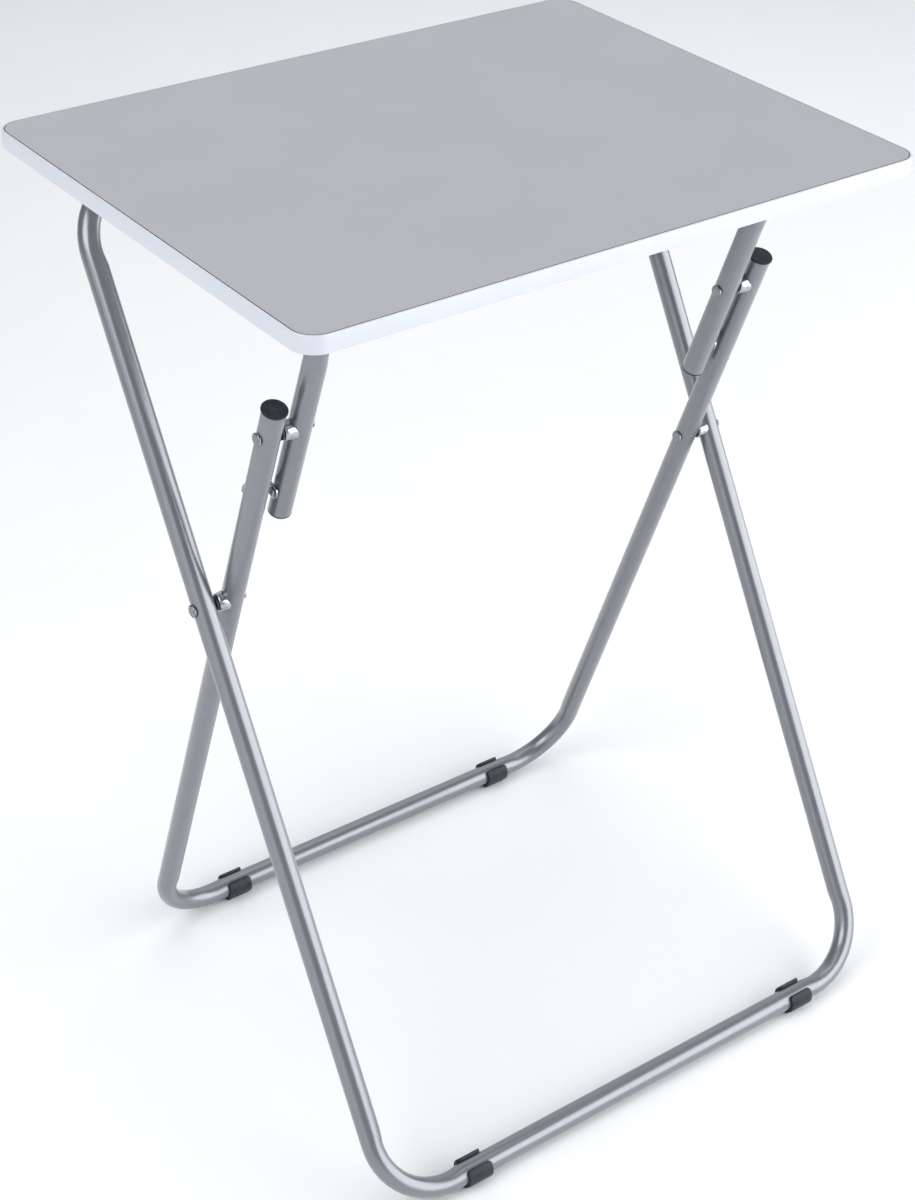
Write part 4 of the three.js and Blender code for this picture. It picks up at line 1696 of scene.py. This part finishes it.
@dataclass(frozen=True)
class Softbox:
    """One large soft light."""

    name: str
    place: tuple[float, float, float]
    aim: tuple[float, float, float]
    size: tuple[float, float]
    watts: float
    colour: tuple[float, float, float] = (1.0, 1.0, 1.0)

    def hang(self) -> None:
        """Adds the light, turned to its aim."""
        lamp = bpy.data.lights.new(self.name, "AREA")
        lamp.shape = "RECTANGLE"
        lamp.size, lamp.size_y = self.size
        lamp.energy = self.watts
        lamp.color = self.colour
        light = bpy.data.objects.new(self.name, lamp)
        light.location = self.place
        light.rotation_euler = (Vector(self.aim) - Vector(self.place)).to_track_quat("-Z", "Y").to_euler()
        bpy.context.scene.collection.objects.link(light)


@dataclass(frozen=True)
class Studio:
    """The camera, the pale floor and the lights."""

    eye: tuple[float, float, float] = (-0.8466, -1.1043, 1.2306)
    heading: float = 36.892  # degrees from +Y towards +X
    fall: float = 33.314  # degrees below level
    nearest: float = 0.05
    farthest: float = 60
    roll: float = 1.399  # degrees, right side up
    lens: float = 68.342  # millimetres, on a 36 mm sensor
    floor_size: float = 30.0
    sky: tuple[float, float, float] = (0.93, 0.95, 1.0)
    sky_strength: float = 0.30
    boxes: tuple[Softbox, ...] = (
        Softbox("overhead", (0.1, 0.4, 3.2), (0, 0, 0.3), (2.6, 2.6), 30),
        Softbox("front_right_wall", (1.56, -1.59, 0.95), (0, 0, 0.35), (3.7, 2.2), 82),
        Softbox("left_wall", (-2.43, -0.65, 0.45), (0, 0, 0.35), (2.4, 2.4), 16),
        Softbox("high_left", (-2.1, -0.2, 2.0), (0, 0, 0.65), (2.0, 1.5), 34),
        Softbox("back_right_wall", (1.4, 2.0, 1.72), (0, 0, 0.35), (3.0, 2.4), 15),
    )

    def build(self) -> None:
        """Sets up the whole studio."""
        self.point_camera()
        self.lay_floor()
        self.light()
        for box in self.boxes:
            box.hang()
        bpy.context.scene.view_settings.view_transform = "Standard"
        log.info("studio: camera, floor and %d lights", len(self.boxes))

    def point_camera(self) -> None:
        """Adds the camera."""
        data = bpy.data.cameras.new("camera")
        data.lens = self.lens
        data.clip_start = self.nearest
        data.clip_end = self.farthest
        camera = bpy.data.objects.new("camera", data)
        bpy.context.scene.collection.objects.link(camera)
        bpy.context.scene.camera = camera
        heading, fall = math.radians(self.heading), math.radians(self.fall)
        level = Vector((math.sin(heading), math.cos(heading), 0)) * math.cos(fall)
        ahead = level - Vector((0, 0, math.sin(fall)))
        turn = ahead.to_track_quat("-Z", "Y") @ Quaternion((0, 0, 1), math.radians(self.roll))
        camera.matrix_world = Matrix.Translation(self.eye) @ turn.to_matrix().to_4x4()

    def lay_floor(self) -> None:
        """Adds the floor."""
        Bench.clear()
        bpy.ops.mesh.primitive_plane_add(size=self.floor_size)
        floor = bpy.context.object
        floor.name = "floor"
        floor.data.materials.append(StudioPaper().make())

    def light(self) -> None:
        """Sets the soft light that comes from all round."""
        world = bpy.data.worlds.new("studio")
        bpy.context.scene.world = world
        world.use_nodes = True
        sky = world.node_tree.nodes["Background"]
        sky.inputs["Color"].default_value = (*self.sky, 1)
        sky.inputs["Strength"].default_value = self.sky_strength


# ------------------------------------------------------------------ making the table


def main() -> None:
    """Builds the table, sub-assembly by sub-assembly, and then its studio."""
    logging.basicConfig(level=logging.INFO, format="%(name)s: %(message)s")
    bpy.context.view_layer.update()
    stance = Stance.read()
    shop = Workshop()
    outer = OuterLegs(stance, shop)
    inner = InnerLegs(stance, shop)
    link = Link(stance, shop)
    for assembly in (outer, inner, link, Board(stance, shop)):
        assembly.build()
    pivots = Pivots(shop, PivotHardware())
    for side in Side:
        outer_arm = Arm(Body.OUTER_LEGS, stance.outer, side.value * outer.half_width, 0)
        inner_arm = Arm(Body.INNER_LEGS, stance.inner, side.value * inner.half_width, 0)
        inner_end = Arm(Body.INNER_LEGS, stance.inner, inner_arm.x, inner.link_height)
        link_arm = Arm(Body.LINK, stance.link, side.value * link.half_width, 0)
        pivots.build(f"main_pivot_{side.word}", Body.OUTER_LEGS, (outer_arm, inner_arm))
        pivots.build(f"link_pivot_{side.word}", Body.INNER_LEGS, (inner_end, link_arm))
    Studio().build()


if __name__ == "__main__":
    main()
